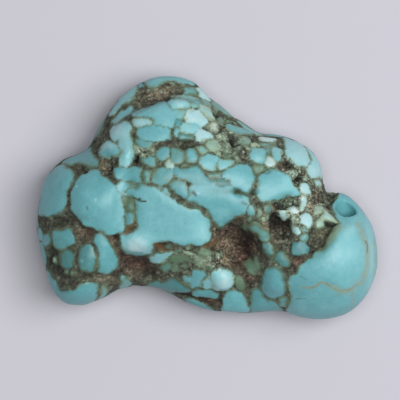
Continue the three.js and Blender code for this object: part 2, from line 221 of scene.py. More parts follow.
    (-0.2, 0.2, [(-3.0, -12.6), (-1.8, -11.6), (-1.1, -12.0), (-0.2, -12.5), (0.4, -14.2),
                 (-1.4, -14.2)]),
    (0.02, 0.05, [(2.3, -10.7), (3.2, -10.6), (3.9, -10.9), (4.4, -11.6), (4.6, -12.4), (4.7, -14.4),
                  (1.8, -14.4), (1.9, -12.4), (1.9, -11.4)]),
    (-0.22, 0.15, [(5.1, -10.4), (5.9, -10.2), (6.3, -10.9), (7.2, -11.4), (7.9, -12.0), (8.2, -14.2),
                   (6.4, -14.6), (5.0, -14.4), (5.0, -12.0), (4.9, -11.2)]),
    (-0.15, 0.3, [(8.1, -11.3), (8.8, -11.2), (9.0, -11.8), (8.7, -12.3), (8.1, -12.0)]),
    (0.0, 0.85, [(4.3, -7.5), (4.6, -7.05), (5.0, -7.2), (5.3, -6.85), (5.65, -7.35), (5.85, -7.8),
                 (5.5, -8.2), (5.1, -8.6), (4.55, -8.3), (4.5, -7.9)]),
    (-0.15, 0.9, [(3.3, -9.1), (3.7, -9.0), (4.1, -9.6), (4.0, -10.2), (3.4, -10.1)]),
    (-0.1, 0.0, [(6.5, -8.3), (7.0, -7.9), (7.8, -7.9), (8.3, -8.3), (8.6, -9.2), (8.6, -10.2),
                 (8.2, -10.9), (7.4, -11.1), (6.7, -10.9), (6.3, -10.3), (6.2, -9.3)]),
    # crumbs between the cavity and the +X lobe
    (-0.1, 0.0, [(4.6, -1.2), (5.1, -1.1), (5.35, -1.6), (5.2, -2.3), (4.7, -2.3), (4.5, -1.8)]),
    (-0.15, 0.3, [(4.7, -3.4), (5.1, -2.9), (5.7, -2.95), (6.0, -3.4), (6.5, -3.9), (6.8, -4.6),
                  (6.4, -5.0), (5.9, -4.6), (5.5, -4.0), (5.0, -3.9)]),
    (-0.35, 0.6, [(6.4, -1.0), (7.1, -0.9), (7.2, -1.4), (6.8, -1.8), (6.4, -1.5)]),
    (-0.35, 0.2, [(6.2, -5.3), (7.0, -5.1), (7.4, -5.6), (7.3, -6.4), (6.9, -6.6), (6.4, -6.1)]),
    (-0.35, 0.35, [(7.5, -6.5), (8.1, -6.0), (8.7, -6.4), (9.1, -7.2), (8.9, -7.8), (8.3, -7.6),
                   (7.7, -7.2), (7.1, -6.8)]),
    (-0.5, 0.0, [(9.5, -5.4), (10.0, -5.1), (10.8, -5.2), (11.1, -5.7), (11.0, -6.2), (10.3, -6.4),
                 (9.5, -6.2)]),
    # +X lobe
    (0.05, 0.0, [(10.3, -7.8), (10.9, -7.2), (11.6, -6.7), (12.2, -6.0), (12.9, -5.5), (13.2, -4.95),
                 (13.6, -4.2), (14.0, -3.4), (14.35, -2.85), (14.5, -2.4), (14.2, -1.4), (14.2, -0.6),
                 (14.8, -0.1), (15.8, 1.4), (18.6, 0.6), (20.6, -3.0), (21.0, -7.0), (20.4, -11.0),
                 (18.0, -14.2), (14.6, -15.8), (10.6, -15.4), (8.8, -13.8), (9.1, -12.0), (9.4, -11.3),
                 (9.2, -10.6), (9.1, -10.0), (9.2, -8.9), (10.0, -8.6)]),
    # small ones along the seams
    (-0.05, 0.6, [(-9.1, -0.05), (-8.6, 0.15), (-8.0, 0.05), (-7.8, -0.5), (-7.75, -1.3), (-8.2, -1.7),
                  (-8.8, -1.6), (-8.9, -0.8)]),
    (0.12, 0.0, [(-9.7, 1.0), (-9.3, 1.5), (-8.8, 1.5), (-8.0, 1.45), (-7.6, 1.2), (-7.7, 0.5),
                 (-8.4, 0.3), (-9.1, 0.3)]),
    (-0.05, 0.3, [(-8.8, -1.7), (-8.1, -1.8), (-7.9, -2.3), (-8.2, -3.0), (-8.9, -2.9)]),
    (0.25, 0.15, [(-1.7, 10.35), (-1.2, 10.3), (-0.7, 10.0), (-0.6, 9.75), (-1.1, 9.8), (-1.6, 10.0)]),
    (0.05, 0.1, [(-2.0, 10.75), (-1.0, 10.7), (-0.4, 10.3), (-0.9, 10.25), (-1.9, 10.4)]),
    (-0.2, 0.1, [(-3.45, 8.4), (-2.9, 8.5), (-2.75, 8.1), (-2.95, 7.7), (-3.4, 7.6)]),
    (-0.15, 0.05, [(-3.0, 6.85), (-2.2, 6.85), (-1.4, 6.75), (-1.3, 6.35), (-2.1, 6.4), (-2.9, 6.5)]),
    (0.5, 0.5, [(-8.0, 5.6), (-7.7, 5.5), (-7.65, 4.9), (-7.95, 4.9)]),
    (-0.1, 0.3, [(4.75, -2.1), (5.2, -2.1), (5.1, -2.6), (4.6, -2.65)]),
    (-0.1, 0.5, [(5.5, -1.5), (5.9, -1.5), (6.0, -2.0), (5.6, -2.25)]),
    (-0.2, 0.55, [(-5.1, -8.0), (-4.6, -7.6), (-4.1, -7.7), (-4.2, -8.2), (-4.7, -8.4)]),
    (0.35, 0.7, [(9.3, -2.2), (9.9, -2.1), (10.15, -2.6), (9.8, -3.0), (9.3, -2.8)]),
    (-0.1, 0.4, [(10.4, -3.4), (10.9, -3.3), (11.2, -3.7), (10.9, -4.0), (10.5, -3.9)]),
    (-0.05, 0.5, [(6.75, 5.5), (7.1, 5.6), (7.15, 4.9), (6.9, 4.6), (6.7, 4.9)]),
    (0.1, 0.5, [(5.9, 6.0), (7.5, 6.0), (7.4, 5.8), (6.2, 5.75)]),
]


def fine_line(points, steps):
    """Closed smooth line through the corners of an outline."""
    corners = np.array(points, float) + SHIFT
    before = np.roll(corners, 1, axis=0)
    after = np.roll(corners, -1, axis=0)
    beyond = np.roll(corners, -2, axis=0)
    pieces = []
    for step in range(steps):
        t = step / steps
        pieces.append(
            0.5 * (2 * corners + (after - before) * t
                   + (2 * before - 5 * corners + 4 * after - beyond) * t * t
                   + (3 * corners - before - 3 * after + beyond) * t ** 3))
    return np.stack(pieces, axis=1).reshape(-1, 2)


def signed_distance(points, line):
    """Distance from each point to a closed line, positive inside it."""
    start = line
    end = np.roll(line, -1, axis=0)
    run = end - start
    offset = points[:, None, :] - start[None, :, :]
    share = np.clip((offset * run).sum(2) / np.maximum((run * run).sum(1), 1e-12), 0, 1)
    gap = offset - share[:, :, None] * run
    distance = np.sqrt((gap * gap).sum(2).min(1))
    crosses = (start[:, 1] > points[:, 1:2]) != (end[:, 1] > points[:, 1:2])
    rise = np.where(np.abs(run[:, 1]) < 1e-12, 1e-12, run[:, 1])
    at = start[:, 0] + (points[:, 1:2] - start[:, 1]) * run[:, 0] / rise
    inside = (crosses & (points[:, 0:1] < at)).sum(1) % 2 == 1
    return np.where(inside, distance, -distance)


class Grain:
    """Seeded smooth noise in three dimensions, from about -1 to 1."""

    TABLE = 4096
    GAIN = 1.6  # brings the noise up to that range
    LAYER_SHIFT = 17.3  # keeps the layers from lining up

    def __init__(self, seed):
        rng = np.random.default_rng(seed)
        slopes = rng.normal(size=(self.TABLE, 3))
        self.slopes = slopes / np.linalg.norm(slopes, axis=1, keepdims=True)
        self.order = rng.permutation(self.TABLE)

    def layer(self, points, size):
        """One layer of noise whose lumps are about size across."""
        place = points / size
        cell = np.floor(place).astype(np.int64)
        inner = place - cell
        fade = inner ** 3 * (inner * (inner * 6 - 15) + 10)
        total = np.zeros(len(points))
        for corner in np.ndindex(2, 2, 2):
            corner = np.array(corner)
            at = cell + corner
            key = self.order[at[:, 0] % self.TABLE]
            key = self.order[(key + at[:, 1]) % self.TABLE]
            key = self.order[(key + at[:, 2]) % self.TABLE]
            lean = (self.slopes[key] * (inner - corner)).sum(1)
            weight = np.where(corner, fade, 1 - fade).prod(1)
            total += weight * lean
        return total * self.GAIN

    def layers(self, points, size, count):
        """Several layers, each half the size and strength of the one before."""
        total = np.zeros(len(points))
        for step in range(count):
            share = 0.5 ** step
            total += self.layer(points + self.LAYER_SHIFT * step, size * share) * share
        return total


def smooth_step(values, low, high):
    """0 below low, 1 above high and an even curve between them."""
    share = np.clip((values - low) / (high - low), 0, 1)
    return share * share * (3 - 2 * share)


def oval_field(points, ovals):
    """Sum of soft ovals: centre x, y, half length, half width, turn in degrees, strength."""
    total = np.zeros(len(points))
    for x, y, half_length, half_width, turn, strength in ovals:
        angle = math.radians(turn)
        offset = points - (np.array([x, y]) + SHIFT)
        along = (offset[:, 0] * math.cos(angle) + offset[:, 1] * math.sin(angle)) / half_length
        across = (offset[:, 1] * math.cos(angle) - offset[:, 0] * math.sin(angle)) / half_width
        total += strength * np.exp(-(along * along + across * across))
    return total


def line_field(points, lines):
    """Strongest of several soft lines: corners, half width, strength."""
    total = np.zeros(len(points))
    for corners, half_width, strength in lines:
        corners = np.array(corners, float) + SHIFT
        for start, end in zip(corners[:-1], corners[1:]):
            run = end - start
            offset = points - start
            share = np.clip(offset @ run / (run @ run), 0, 1)
            gap = np.linalg.norm(offset - share[:, None] * run, axis=1)
            total = np.maximum(total, strength * np.exp(-(gap / half_width) ** 2))
    return total


# Soft ovals of relief on the stone, in millimetres. Each oval is centre x, y, half length,
# half width, turn in degrees and strength.
MATRIX_DEPTH = [  # where the matrix lies deeper than in the narrow veins
    (2.2, 6.6, 3.6, 2.2, -42, 0.22),
    (9.6, -2.0, 3.4, 2.6, 0, 0.3),
    (9.6, 3.0, 3.4, 1.1, -42, 0.30),
    (-1.0, -6.6, 5.0, 1.4, 4, 0.35),
    (-13.6, -8.6, 3.2, 1.6, -20, 0.30),
    (-17.2, -6.8, 0.9, 1.8, 0, 0.30),
    (-16.0, -2.8, 2.6, 0.8, 0, 0.35),
    (-13.3, -4.2, 1.4, 0.8, -20, 0.55),
    (-7.2, 4.9, 1.5, 0.9, 0, 0.35),
    (-11.2, 3.2, 0.9, 1.0, 0, 0.45),
    (-2.0, 5.9, 0.9, 0.6, -20, 0.40),
    (-5.6, 11.4, 3.2, 0.8, 12, 0.20),
    (3.6, -5.6, 3.4, 2.2, -58, 0.20),
    (12.6, -4.0, 1.8, 1.2, 50, 0.30),
    (0.0, -11.8, 1.8, 0.8, -8, 0.30),
]
PITS = [  # small holes sunk into the skin; the darkening they add to the matrix is painted shade
    (-8.0, 4.25, 0.42, 0.55, 0, 1.3),
    (-13.95, 3.3, 0.3, 0.25, 0, 0.4),
    (-13.4, 2.85, 0.3, 0.25, 0, 0.6),
    (-10.8, 3.3, 0.3, 0.5, 0, 0.6),
    (-10.8, 4.35, 0.2, 0.2, 0, 0.4),
    (0.1, 7.6, 0.5, 0.26, -10, 0.9),
    (2.4, 8.45, 0.3, 0.25, 0, 0.8),
    (1.15, 9.1, 0.35, 0.2, -35, 0.7),
    (-2.3, 6.0, 0.38, 0.26, -10, 0.6),
    (-1.65, 5.7, 0.35, 0.28, 0, 0.5),
    (8.3, -1.1, 0.7, 0.22, -8, 0.5),
    (9.2, -0.65, 0.8, 0.3, 4, 0.45),
    (7.7, -3.0, 0.7, 1.0, 10, 0.6),
    (8.7, -3.4, 0.5, 0.6, 0, 0.3),
    (3.4, 0.45, 0.45, 0.28, -20, 0.5),
    (5.2, 0.5, 0.4, 0.24, 15, 0.8),
    (-2.8, -0.55, 0.3, 0.25, 0, 0.35),
    (10.4, 2.2, 0.5, 0.3, 20, 0.5),
    (10.9, 1.8, 0.3, 0.25, 0, 0.4),
    (6.7, 2.85, 0.4, 0.3, 30, 0.5),
    (8.3, 5.7, 0.4, 0.22, 10, 0.5),
    (5.2, 6.4, 0.25, 0.25, 0, 0.3),
    (-7.6, -0.4, 0.5, 0.14, -10, 0.25),
    (-10.1, -4.7, 0.4, 0.35, 0, 0.5),
    (-4.85, -5.7, 0.95, 0.55, 6, 0.6),
    (-6.3, -9.0, 0.4, 0.6, -30, 0.6),
    (13.6, -2.75, 0.6, 0.3, 0, 0.6),
    (11.95, -4.2, 0.2, 0.3, 0, 0.3),
    (9.95, 2.2, 0.3, 0.4, 0, 0.4),
    (2.9, 5.9, 0.3, 0.3, 0, 0.3),
    (2.3, 4.9, 0.25, 0.2, 0, 0.3),
    (11.4, -6.0, 0.3, 0.3, 0, 0.4),
]
SWELLS = [  # gentle rises of whole areas, or falls where negative
    (-3.0, -6.9, 4.6, 1.1, 4, -0.5),
    (-8.2, -5.4, 1.6, 0.9, 12, 0.3),
    (6.6, -3.4, 1.5, 0.45, -76, 0.35),
    (-15.2, -2.6, 2.4, 0.6, 0, -0.4),
    (7.4, -9.6, 1.2, 1.6, 0, 0.5),
    (1.8, -9.2, 1.2, 1.1, 0, 0.6),
    (-13.1, -6.8, 1.0, 1.4, 0, 0.3),
    (-11.2, -6.6, 1.1, 1.8, 10, 0.3),
]

# Colouring of the skin, as the same kind of ovals, and as soft lines: corners, half width
# and strength.
BROWN = [  # where the matrix is brown
    (2.6, -5.4, 3.2, 1.7, -60, 1.0),
    (4.3, -5.2, 1.4, 1.8, 0, 0.8),
    (8.0, -3.3, 0.9, 1.0, 0, 0.6),
    (-8.5, -3.4, 0.5, 0.7, 0, 0.6),
    (-11.3, 3.3, 0.6, 0.8, 0, 0.5),
    (8.4, 3.5, 1.3, 0.5, -30, 0.7),
    (3.4, 4.4, 0.7, 0.4, 0, 0.7),
    (0.0, -12.0, 1.6, 0.6, -15, 0.8),
    (-2.4, -11.2, 0.8, 0.4, -20, 0.6),
    (13.4, -1.4, 0.6, 0.6, 0, 0.5),
    (-7.9, -7.4, 2.4, 1.0, -25, 1.1),
    (-4.85, -5.95, 1.2, 0.8, 0, 1.1),
    (10.0, -7.2, 1.1, 0.8, 0, 0.9),
    (0.4, -11.8, 1.5, 0.7, 0, 0.6),
    (-13.3, -4.1, 1.4, 0.7, 0, 0.8),
    (-10.1, -4.8, 0.5, 0.5, 0, 0.9),
    (4.8, -9.0, 0.8, 0.6, 0, 0.7),
    (-9.8, -9.0, 1.6, 0.9, 0, 0.5),
    (-5.2, 11.2, 1.6, 0.5, 10, 0.4),
]
DARK_AND_SHADE = [  # where the matrix is darker, or where negative less dark: partly its own darker patches, partly painted shade in hollows, under ledges and on a shadowed shoulder
    # painted shade in the east side of the brown hollow
    (4.3, -4.8, 1.0, 1.9, 10, 0.85),
    (8.4, -1.0, 1.3, 0.4, 0, 0.6),
    (7.8, -3.1, 1.0, 1.2, 0, 0.4),
    (-5.0, -5.9, 0.9, 0.45, 0, -0.35),
    (-13.6, -9.2, 2.2, 0.7, -10, 0.15),
    (-17.0, -6.6, 0.9, 1.8, 0, 0.3),
    (5.3, -0.2, 0.6, 0.6, 0, 0.4),
    (13.6, -2.75, 1.0, 0.45, 10, 0.9),
    (12.1, -3.3, 0.35, 0.4, 0, 0.3),
    (9.3, 3.4, 0.7, 0.4, -30, 0.45),
    (1.2, -7.4, 0.5, 0.45, 0, 0.6),
    (7.8, 3.4, 0.4, 0.3, 0, 0.5),
    (2.75, 5.9, 0.35, 0.9, -5, 0.5),
    (1.6, -4.0, 0.7, 0.5, 40, 0.3),
    (0.6, -10.35, 1.7, 0.22, -8, 0.9),
    (1.5, -11.3, 0.35, 1.2, 0, 0.8),
    (-2.7, -11.35, 0.8, 0.4, -8, 0.9),
    (10.8, 2.1, 1.0, 0.5, -40, 0.5),
    (9.8, -4.6, 0.5, 0.3, 0, 0.4),
    # painted shade in the band under the +Y lobe's ledge
    (-3.3, 12.0, 0.6, 0.5, 0, 0.6),
    # painted shade under the ledge of the middle cobble
    (-7.2, -8.0, 1.2, 0.7, -30, 0.5),
    (-12.2, -5.5, 0.3, 0.6, 0, 0.5),
    (-9.9, -4.6, 0.4, 0.4, 0, 0.5),
    (-2.3, -11.2, 0.9, 0.4, -20, 0.5),
    (-4.6, 0.2, 0.8, 0.4, -35, 0.4),
    (8.9, 3.9, 0.8, 0.6, -30, 0.5),
    (3.2, 5.6, 1.9, 0.7, -62, 0.5),
    # painted shade in the band under the +Y lobe's ledge
    (-4.2, 11.0, 1.0, 0.25, 12, 0.6),
    (-6.8, 10.3, 0.5, 0.3, 0, 0.4),
    (-8.0, -3.4, 0.3, 0.4, 0, 0.5),
    (-0.6, -12.1, 1.6, 0.35, -28, 0.7),
    # painted shade on the shadowed shoulder of the +X lobe
    (14.0, 0.0, 1.2, 0.7, -20, 0.5),
    (-17.2, -7.2, 0.8, 1.4, 10, 0.5),
    (-16.8, -3.0, 2.2, 0.5, 0, 0.4),
    (-15.8, -8.4, 1.2, 0.8, -50, 0.4),
    (-8.6, -7.0, 1.0, 0.5, 0, 0.3),
]
PALE_AND_HIGHLIGHT = [  # lighter patches of the cobbles, or deeper ones where negative; two on the +X lobe are painted highlights
    (-7.8, -5.2, 1.7, 0.95, 5, 0.65),
    (-2.2, -4.6, 2.6, 0.5, 0, 0.2),
    (18.2, -6.5, 0.7, 4.5, 0, 0.3),
    # painted highlight on the +X lobe
    (15.5, -3.6, 0.9, 1.0, 0, 0.25),
    (5.7, 4.1, 0.6, 0.4, 0, 0.3),
    (-0.4, -3.8, 1.0, 1.4, 20, 0.30),
    (-9.8, 7.2, 0.8, 0.8, 0, 0.20),
    (9.2, 1.4, 0.7, 1.6, 40, 0.25),
    (12.0, 2.8, 1.2, 0.9, 0, 0.20),
    # painted highlight on the +X lobe
    (15.8, -6.0, 1.5, 2.2, 0, 0.32),
    (-3.0, 10.2, 0.8, 0.4, 0, 0.25),
    (-14.35, 1.15, 0.12, 0.12, 0, 0.8),
    (-12.1, -0.35, 0.15, 0.12, 0, 0.5),
    (-0.95, 0.35, 0.15, 0.12, 0, 0.5),
    (1.6, 0.6, 1.5, 0.4, 0, -0.22),
    (-6.8, -6.0, 0.9, 0.5, 0, 0.3),
    (-13.7, -7.1, 0.15, 0.2, 0, 0.6),
    (1.8, -1.8, 1.0, 0.8, 0, 0.20),
    (-10.7, 5.6, 0.8, 0.35, 0, 0.30),
    (-10.9, 4.75, 0.9, 0.35, 0, -0.30),
    (1.9, -9.2, 0.9, 0.8, 0, 0.3),
]
RUST_LINES = [  # rusty seams
    ([(2.6, -2.0), (3.9, -2.2)], 0.30, 0.9),
    ([(-8.0, -2.7), (-8.4, -3.3), (-8.8, -4.1)], 0.34, 1.0),
    ([(-10.6, -4.9), (-10.0, -6.0), (-9.6, -7.2)], 0.28, 0.7),
    ([(-12.2, -3.9), (-11.2, -4.4), (-10.3, -4.8)], 0.22, 0.6),
    ([(0.2, -5.5), (1.4, -5.0)], 0.50, 0.8),
    ([(-5.6, -5.35), (-5.2, -6.0), (-4.7, -6.2)], 0.35, 1.0),
    ([(2.5, -2.1), (3.3, -1.9)], 0.35, 0.8),
    ([(4.0, -0.4), (4.5, -0.9)], 0.20, 0.8),
    ([(7.4, -1.0), (7.6, -1.7)], 0.25, 0.8),
    ([(4.0, -11.1), (4.7, -12.5)], 0.22, 0.6),
    ([(6.8, -0.5), (7.2, -0.5)], 0.20, 0.7),
    ([(-13.0, -10.9), (-12.4, -11.2)], 0.35, 0.7),
    ([(-2.5, 8.6), (-2.4, 8.3)], 0.25, 0.6),
]
TAN_LINES = [  # the tan vein of the +X lobe
    ([(10.6, -10.0), (12.0, -9.86), (12.5, -9.4), (13.1, -9.6), (13.8, -9.9), (14.65, -10.35),
      (15.3, -10.3), (16.0, -10.1)], 0.17, 0.75),
    ([(14.0, -10.0), (14.7, -10.4), (15.4, -10.4), (16.0, -10.1), (16.5, -9.7), (17.1, -9.3),
      (17.5, -8.6), (17.7, -7.5), (17.7, -6.4), (17.65, -5.4), (17.3, -4.6), (17.0, -3.7),
      (16.5, -3.0)], 0.45, 0.55),
    ([(18.4, -5.0), (18.7, -6.4), (18.7, -7.6), (18.5, -8.6)], 0.35, 0.45),
    ([(15.9, -10.2), (16.1, -11.3), (16.1, -12.5)], 0.25, 0.45),
]
CRACKS = [  # dark hairlines across the cobbles
    ([(9.9, -11.3), (11.1, -11.3)], 0.10, 0.45),
    ([(10.2, -8.85), (11.0, -9.05)], 0.10, 0.4),
    ([(11.2, -10.0), (12.0, -9.86), (12.5, -9.4), (13.1, -9.6), (13.8, -9.9), (14.65, -10.35),
      (15.3, -10.3), (16.0, -10.05), (16.6, -9.6)], 0.08, 0.4),
    ([(17.7, -6.2), (17.7, -5.3), (17.45, -4.9)], 0.12, 0.6),
    ([(-13.15, -1.05), (-13.05, -1.45)], 0.13, 0.6),
    ([(-8.1, -0.1), (-7.5, -0.4), (-6.7, -0.55)], 0.14, 1.0),
    ([(-7.6, -0.3), (-7.3, -0.05)], 0.1, 0.8),
    ([(-1.4, 0.5), (-1.2, 0.25)], 0.22, 0.8),
    ([(1.15, 0.8), (1.45, 0.6)], 0.25, 0.3),
    ([(4.0, -0.6), (4.4, -0.9)], 0.25, 0.5),
]
GREENING = [  # where the cobbles' edges turn green
    (13.6, -4.6, 2.2, 0.6, 52, 0.9),
    (13.9, -3.0, 0.7, 0.5, 0, 0.6),
    (-8.2, 3.0, 1.2, 0.5, 0, 0.3),
    (-5.9, 2.6, 0.5, 0.8, 0, 0.4),
    (-3.0, 1.6, 1.6, 0.5, -5, 0.4),
    (2.5, 5.0, 1.6, 2.0, -40, 0.3),
    (9.2, -11.0, 0.5, 1.6, 0, 0.5),
    (-16.4, -6.0, 1.0, 1.6, 0, 0.35),
    (-14.0, -9.2, 3.0, 0.6, -15, 0.4),
    (-2.0, -7.0, 3.0, 0.8, 5, 0.4),
    (6.4, -3.4, 1.0, 2.6, 20, 0.35),
    (-9.0, -9.6, 0.8, 0.8, 0, 0.4),
    (-13.8, 3.4, 1.8, 0.5, 5, 0.4),
    (2.4, 0.5, 0.7, 0.3, 0, 0.5),
]
CRUMB_AREAS = [  # where small crumbs of turquoise crowd the matrix, or none where negative
    (2.0, 6.8, 3.2, 1.8, -40, 0.7),
    (10.6, -1.6, 1.3, 2.4, 0, 0.6),
    (10.2, 2.4, 1.8, 0.8, -40, 0.2),
    (-1.6, -7.0, 2.6, 0.9, 0, 0.6),
    (0.5, 3.4, 5.0, 0.9, -5, 0.5),
    (-6.4, 4.6, 1.6, 0.8, 0, 0.4),
    (-15.4, -7.0, 1.0, 0.8, 0, 0.5),
    (5.4, -2.4, 0.8, 1.4, 0, 0.5),
    (8.6, -5.1, 1.0, 0.6, 0, -0.5),
    (12.0, -4.6, 0.8, 1.0, 0, -0.5),
    (-11.2, 3.3, 1.2, 1.0, 0, -0.5),
    (11.8, -0.6, 0.5, 0.7, 0, -0.5),
    (2.8, 6.0, 0.4, 0.4, 0, -0.8),
]
PALE_CRUMBS = [  # where those crumbs are nearly white
    (1.8, 6.9, 3.0, 1.9, -40, 0.35),
    (10.8, -1.4, 2.2, 2.6, 0, 0.55),
    (10.4, 2.6, 1.6, 0.9, -40, 0.25),
]
BARE = [  # where the matrix stays clear of scattered cobbles and crumbs
    (14.3, 0.25, 1.3, 0.8, -20, 1.0),
    (-2.9, -11.8, 0.9, 0.5, -10, 1.0),
    (14.0, 1.2, 1.4, 1.4, 0, 1.0),
]
SAND_AND_LIT_SLOPE = [  # light, sandy patches of the matrix, and painted light on one lit slope
    (6.65, -3.2, 1.7, 0.42, -76, 0.9),
    # painted light on the west wall of the brown hollow, which faces the key light
    (2.6, -6.2, 0.6, 1.7, 0, 0.6),
    (1.4, -4.8, 0.6, 0.8, 0, 0.3),
    (-1.0, -7.0, 2.6, 1.0, 0, 0.25),
    (8.6, 3.4, 1.2, 0.4, -35, 0.2),
    (13.0, -4.2, 0.8, 0.7, 0, 0.3),
    (11.0, 2.2, 0.8, 0.4, -45, 0.4),
    (0.5, -11.8, 0.5, 0.3, 0, 0.4),
    (2.6, -7.2, 0.5, 0.7, 0, 0.5),
    (-5.2, 11.6, 2.2, 0.6, 12, 0.7),
    (-7.4, 10.3, 0.6, 0.4, 30, 0.3),
    (10.9, -3.6, 0.4, 0.3, 0, 0.3),
    (11.5, -1.1, 0.55, 1.2, 0, 0.75),
    (12.4, 0.4, 0.5, 0.8, 20, 0.5),
    (0.2, -7.5, 0.6, 0.4, 0, 0.5),
    (-11.6, 3.7, 0.4, 0.7, 0, 0.6),
    (-11.2, -9.3, 1.4, 0.5, 0, 0.3),
    (7.6, -4.8, 0.6, 0.3, 0, 0.4),
]
SOLID = [  # where the seams between cobbles have closed up
    (-2.8, 8.6, 1.8, 1.6, 0, 0.14),
    (-1.2, 10.3, 1.3, 0.6, -15, 0.14),
    (-8.9, 1.0, 1.2, 0.7, 0, 0.12),
    (-8.4, -2.3, 0.6, 0.8, 0, 0.08),
    (0.2, 1.2, 1.8, 0.4, 0, 0.25),
    (-6.0, 7.75, 1.6, 0.3, 0, 0.10),
    (-9.3, 5.3, 1.2, 1.0, 0, 0.08),
    (-6.0, 1.3, 2.0, 0.5, 0, 0.10),
    (1.5, 3.6, 1.6, 0.8, 0, 0.06),
    (-5.6, 3.2, 0.8, 0.4, 0, 0.15),
    (-2.4, 4.5, 0.3, 0.7, 0, 0.12),
    (6.8, 5.4, 0.5, 0.7, 0, 0.10),
    (1.3, 1.4, 1.4, 0.4, -8, 0.4),
    (0.2, -9.6, 0.7, 0.6, 0, 0.25),
]
ROUGH = [  # where the matrix is roughest, with bright and dark grains
    (9.5, -1.5, 3.0, 3.5, 0, 1.0),
    (2.5, 6.5, 3.6, 2.2, -40, 0.8),
    (9.2, 3.6, 3.0, 1.2, -40, 0.9),
    (2.2, -6.0, 1.6, 2.6, 0, 0.8),
    (-11.2, 3.4, 1.0, 1.2, 0, 0.9),
    (-6.8, 4.9, 2.0, 0.8, 0, 0.9),
    (-1.0, -7.6, 3.4, 1.1, 4, 0.6),
    (12.6, 0.4, 1.4, 1.4, 0, 0.8),
    (-5.4, 11.4, 2.6, 0.8, 12, 0.6),
]
SEAMS = [  # lines along which the matrix cuts into the cobbles
    ([(-5.7, 1.05), (-4.2, -0.1), (-3.0, -0.6), (-1.05, -1.4)], 0.25, 0.25),
    ([(-5.0, 0.6), (-4.3, 0.0), (-3.8, -0.3)], 0.35, 0.45),
    ([(-12.5, -4.9), (-12.1, -5.6), (-12.2, -6.4)], 0.22, 0.25),
    ([(-9.8, -4.3), (-9.4, -5.0)], 0.3, 0.3),
    ([(1.7, 9.5), (2.6, 8.9), (3.5, 8.3)], 0.45, 0.6),
    ([(-2.2, 8.4), (-1.6, 9.3), (-0.9, 9.9)], 0.2, 0.25),
    ([(-0.3, -1.6), (0.0, -2.0)], 0.3, 0.25),
    ([(-14.6, 2.0), (-15.2, 0.6), (-15.2, -0.8)], 0.3, 0.2),
    ([(-3.4, -11.3), (-2.2, -11.2)], 0.4, 0.7),
    ([(-1.6, -11.75), (-0.6, -12.2), (0.1, -12.7)], 0.3, 0.5),
]

DRILL_POINT = np.array([15.42, -1.4, 8.0])  # on the middle line of the drilled hole
DRILL_AIM = np.array([-0.1, -0.8, -0.58]) / math.sqrt(0.01 + 0.64 + 0.3364)
DRILL_RADIUS = 1.1
TUNNEL_SKIN = (DRILL_RADIUS + 0.06, DRILL_RADIUS + 0.3)  # the bored wall gives way to skin
TUNNEL_HOLD = (DRILL_RADIUS * 1.1, DRILL_RADIUS * 1.5)  # relaxing leaves the wall alone
MOUTH = np.array([15.55, -1.05])  # middle of the hole's upper mouth
MOUTH_REACH = 1.5
MOUTH_HEIGHTS = (4.0, 6.5)  # the wear fades out between the second and the first
MOUTH_TURN = 22  # degrees
MOUTH_DRAG = np.array([-0.15, -0.22])
MOUTH_STRETCH = 0.7

TOP_LEVEL = 7.4  # above this height the drawing is seen flat on
SIDE_FOLD = 0.85  # how far the drawing is folded out for each millimetre below that height
TOP_FADE = (3.2, 4.8)  # the drawn cobbles, stains, painted shade and painted highlights die out between these heights
SIDE_LEVEL = 5.4  # scattered cobbles may start below this height

COBBLE_GROW = 0.1  # the drawn outlines are widened by this
COBBLE_GAP = 0.12  # and a seam this wide is left where two meet
FAR_OUTSIDE = -9.0  # depth where no cobble is near
# Scattered cobbles: least, usual and greatest radius, tries, spacing and seam.
SIDE_COBBLES = {"radii": (0.6, 1.7, 3.2), "tries": 4000, "spacing": 0.72, "gap": 0.25}
CRUMBS = {"radii": (0.2, 0.32, 0.7), "tries": 3000, "spacing": 0.75, "gap": 0.14}
BOXINESS = 2.4  # 2 makes the scattered cobbles round, more makes them squarer

EDGE_RUN = 0.2  # width of the rolled edge of a cobble
DOME_HEIGHT = 0.1
DOME_RUN = 0.8
MATRIX_RUN = 0.25  # width of the step down into the matrix
RELAX_ROUNDS = 8

FIELDS = (
    "cobble_depth", "tone", "green", "brown", "dark", "rough", "sand_and_lit_slope", "rust", "tan", "crack")

WIDEST_LEVEL = 5.2 * MM  # height of the stone's widest line, which sets the scale of the view
VIEW_CENTRE = (-0.75 * MM, -0.29 * MM)
FLOOR_DROP = 0.02 * MM  # keeps the floor clear of the flat patch the stone rests on
FLOOR_HALF_WIDTH = 2.0
KEY_LIGHT = {"azimuth": 8, "elevation": 61, "distance": 0.5, "width": 0.32}
OVERHEAD_LIGHT = {"azimuth": 0, "elevation": 90, "distance": 0.6, "width": 0.3}
SKY_COLOUR = (0.95, 0.95, 1.0, 1.0)


def drill_distance(points):
    """Distance of each point from the line the hole is drilled along."""
    offset = points - DRILL_POINT
    along = offset @ DRILL_AIM
    return np.linalg.norm(offset - along[:, None] * DRILL_AIM, axis=1)


def relax(points, edges, hold, rounds):
    """Evens out a net of points without shrinking it; hold is 1 where it stays put."""
    count = np.bincount(edges.ravel(), minlength=len(points)).astype(float)
    for _ in range(rounds):
        for step in (0.5, -0.51):
            total = np.zeros_like(points)
            for axis in range(3):
                total[:, axis] = (
                    np.bincount(edges[:, 0], points[edges[:, 1], axis], len(points))
                    + np.bincount(edges[:, 1], points[edges[:, 0], axis], len(points)))
            shift = total / count[:, None] - points
            points = points + shift * (step * (1 - hold))[:, None]
    return points


def read_rows(items, name, columns, kind=float):
    """One value list of a mesh, such as its points, as rows of an array."""
    values = np.empty(len(items) * columns, kind)
    items.foreach_get(name, values)
    return values.reshape(-1, columns)


def read_points(mesh):
    """Places of the mesh's points."""
    return read_rows(mesh.vertices, "co", 3)


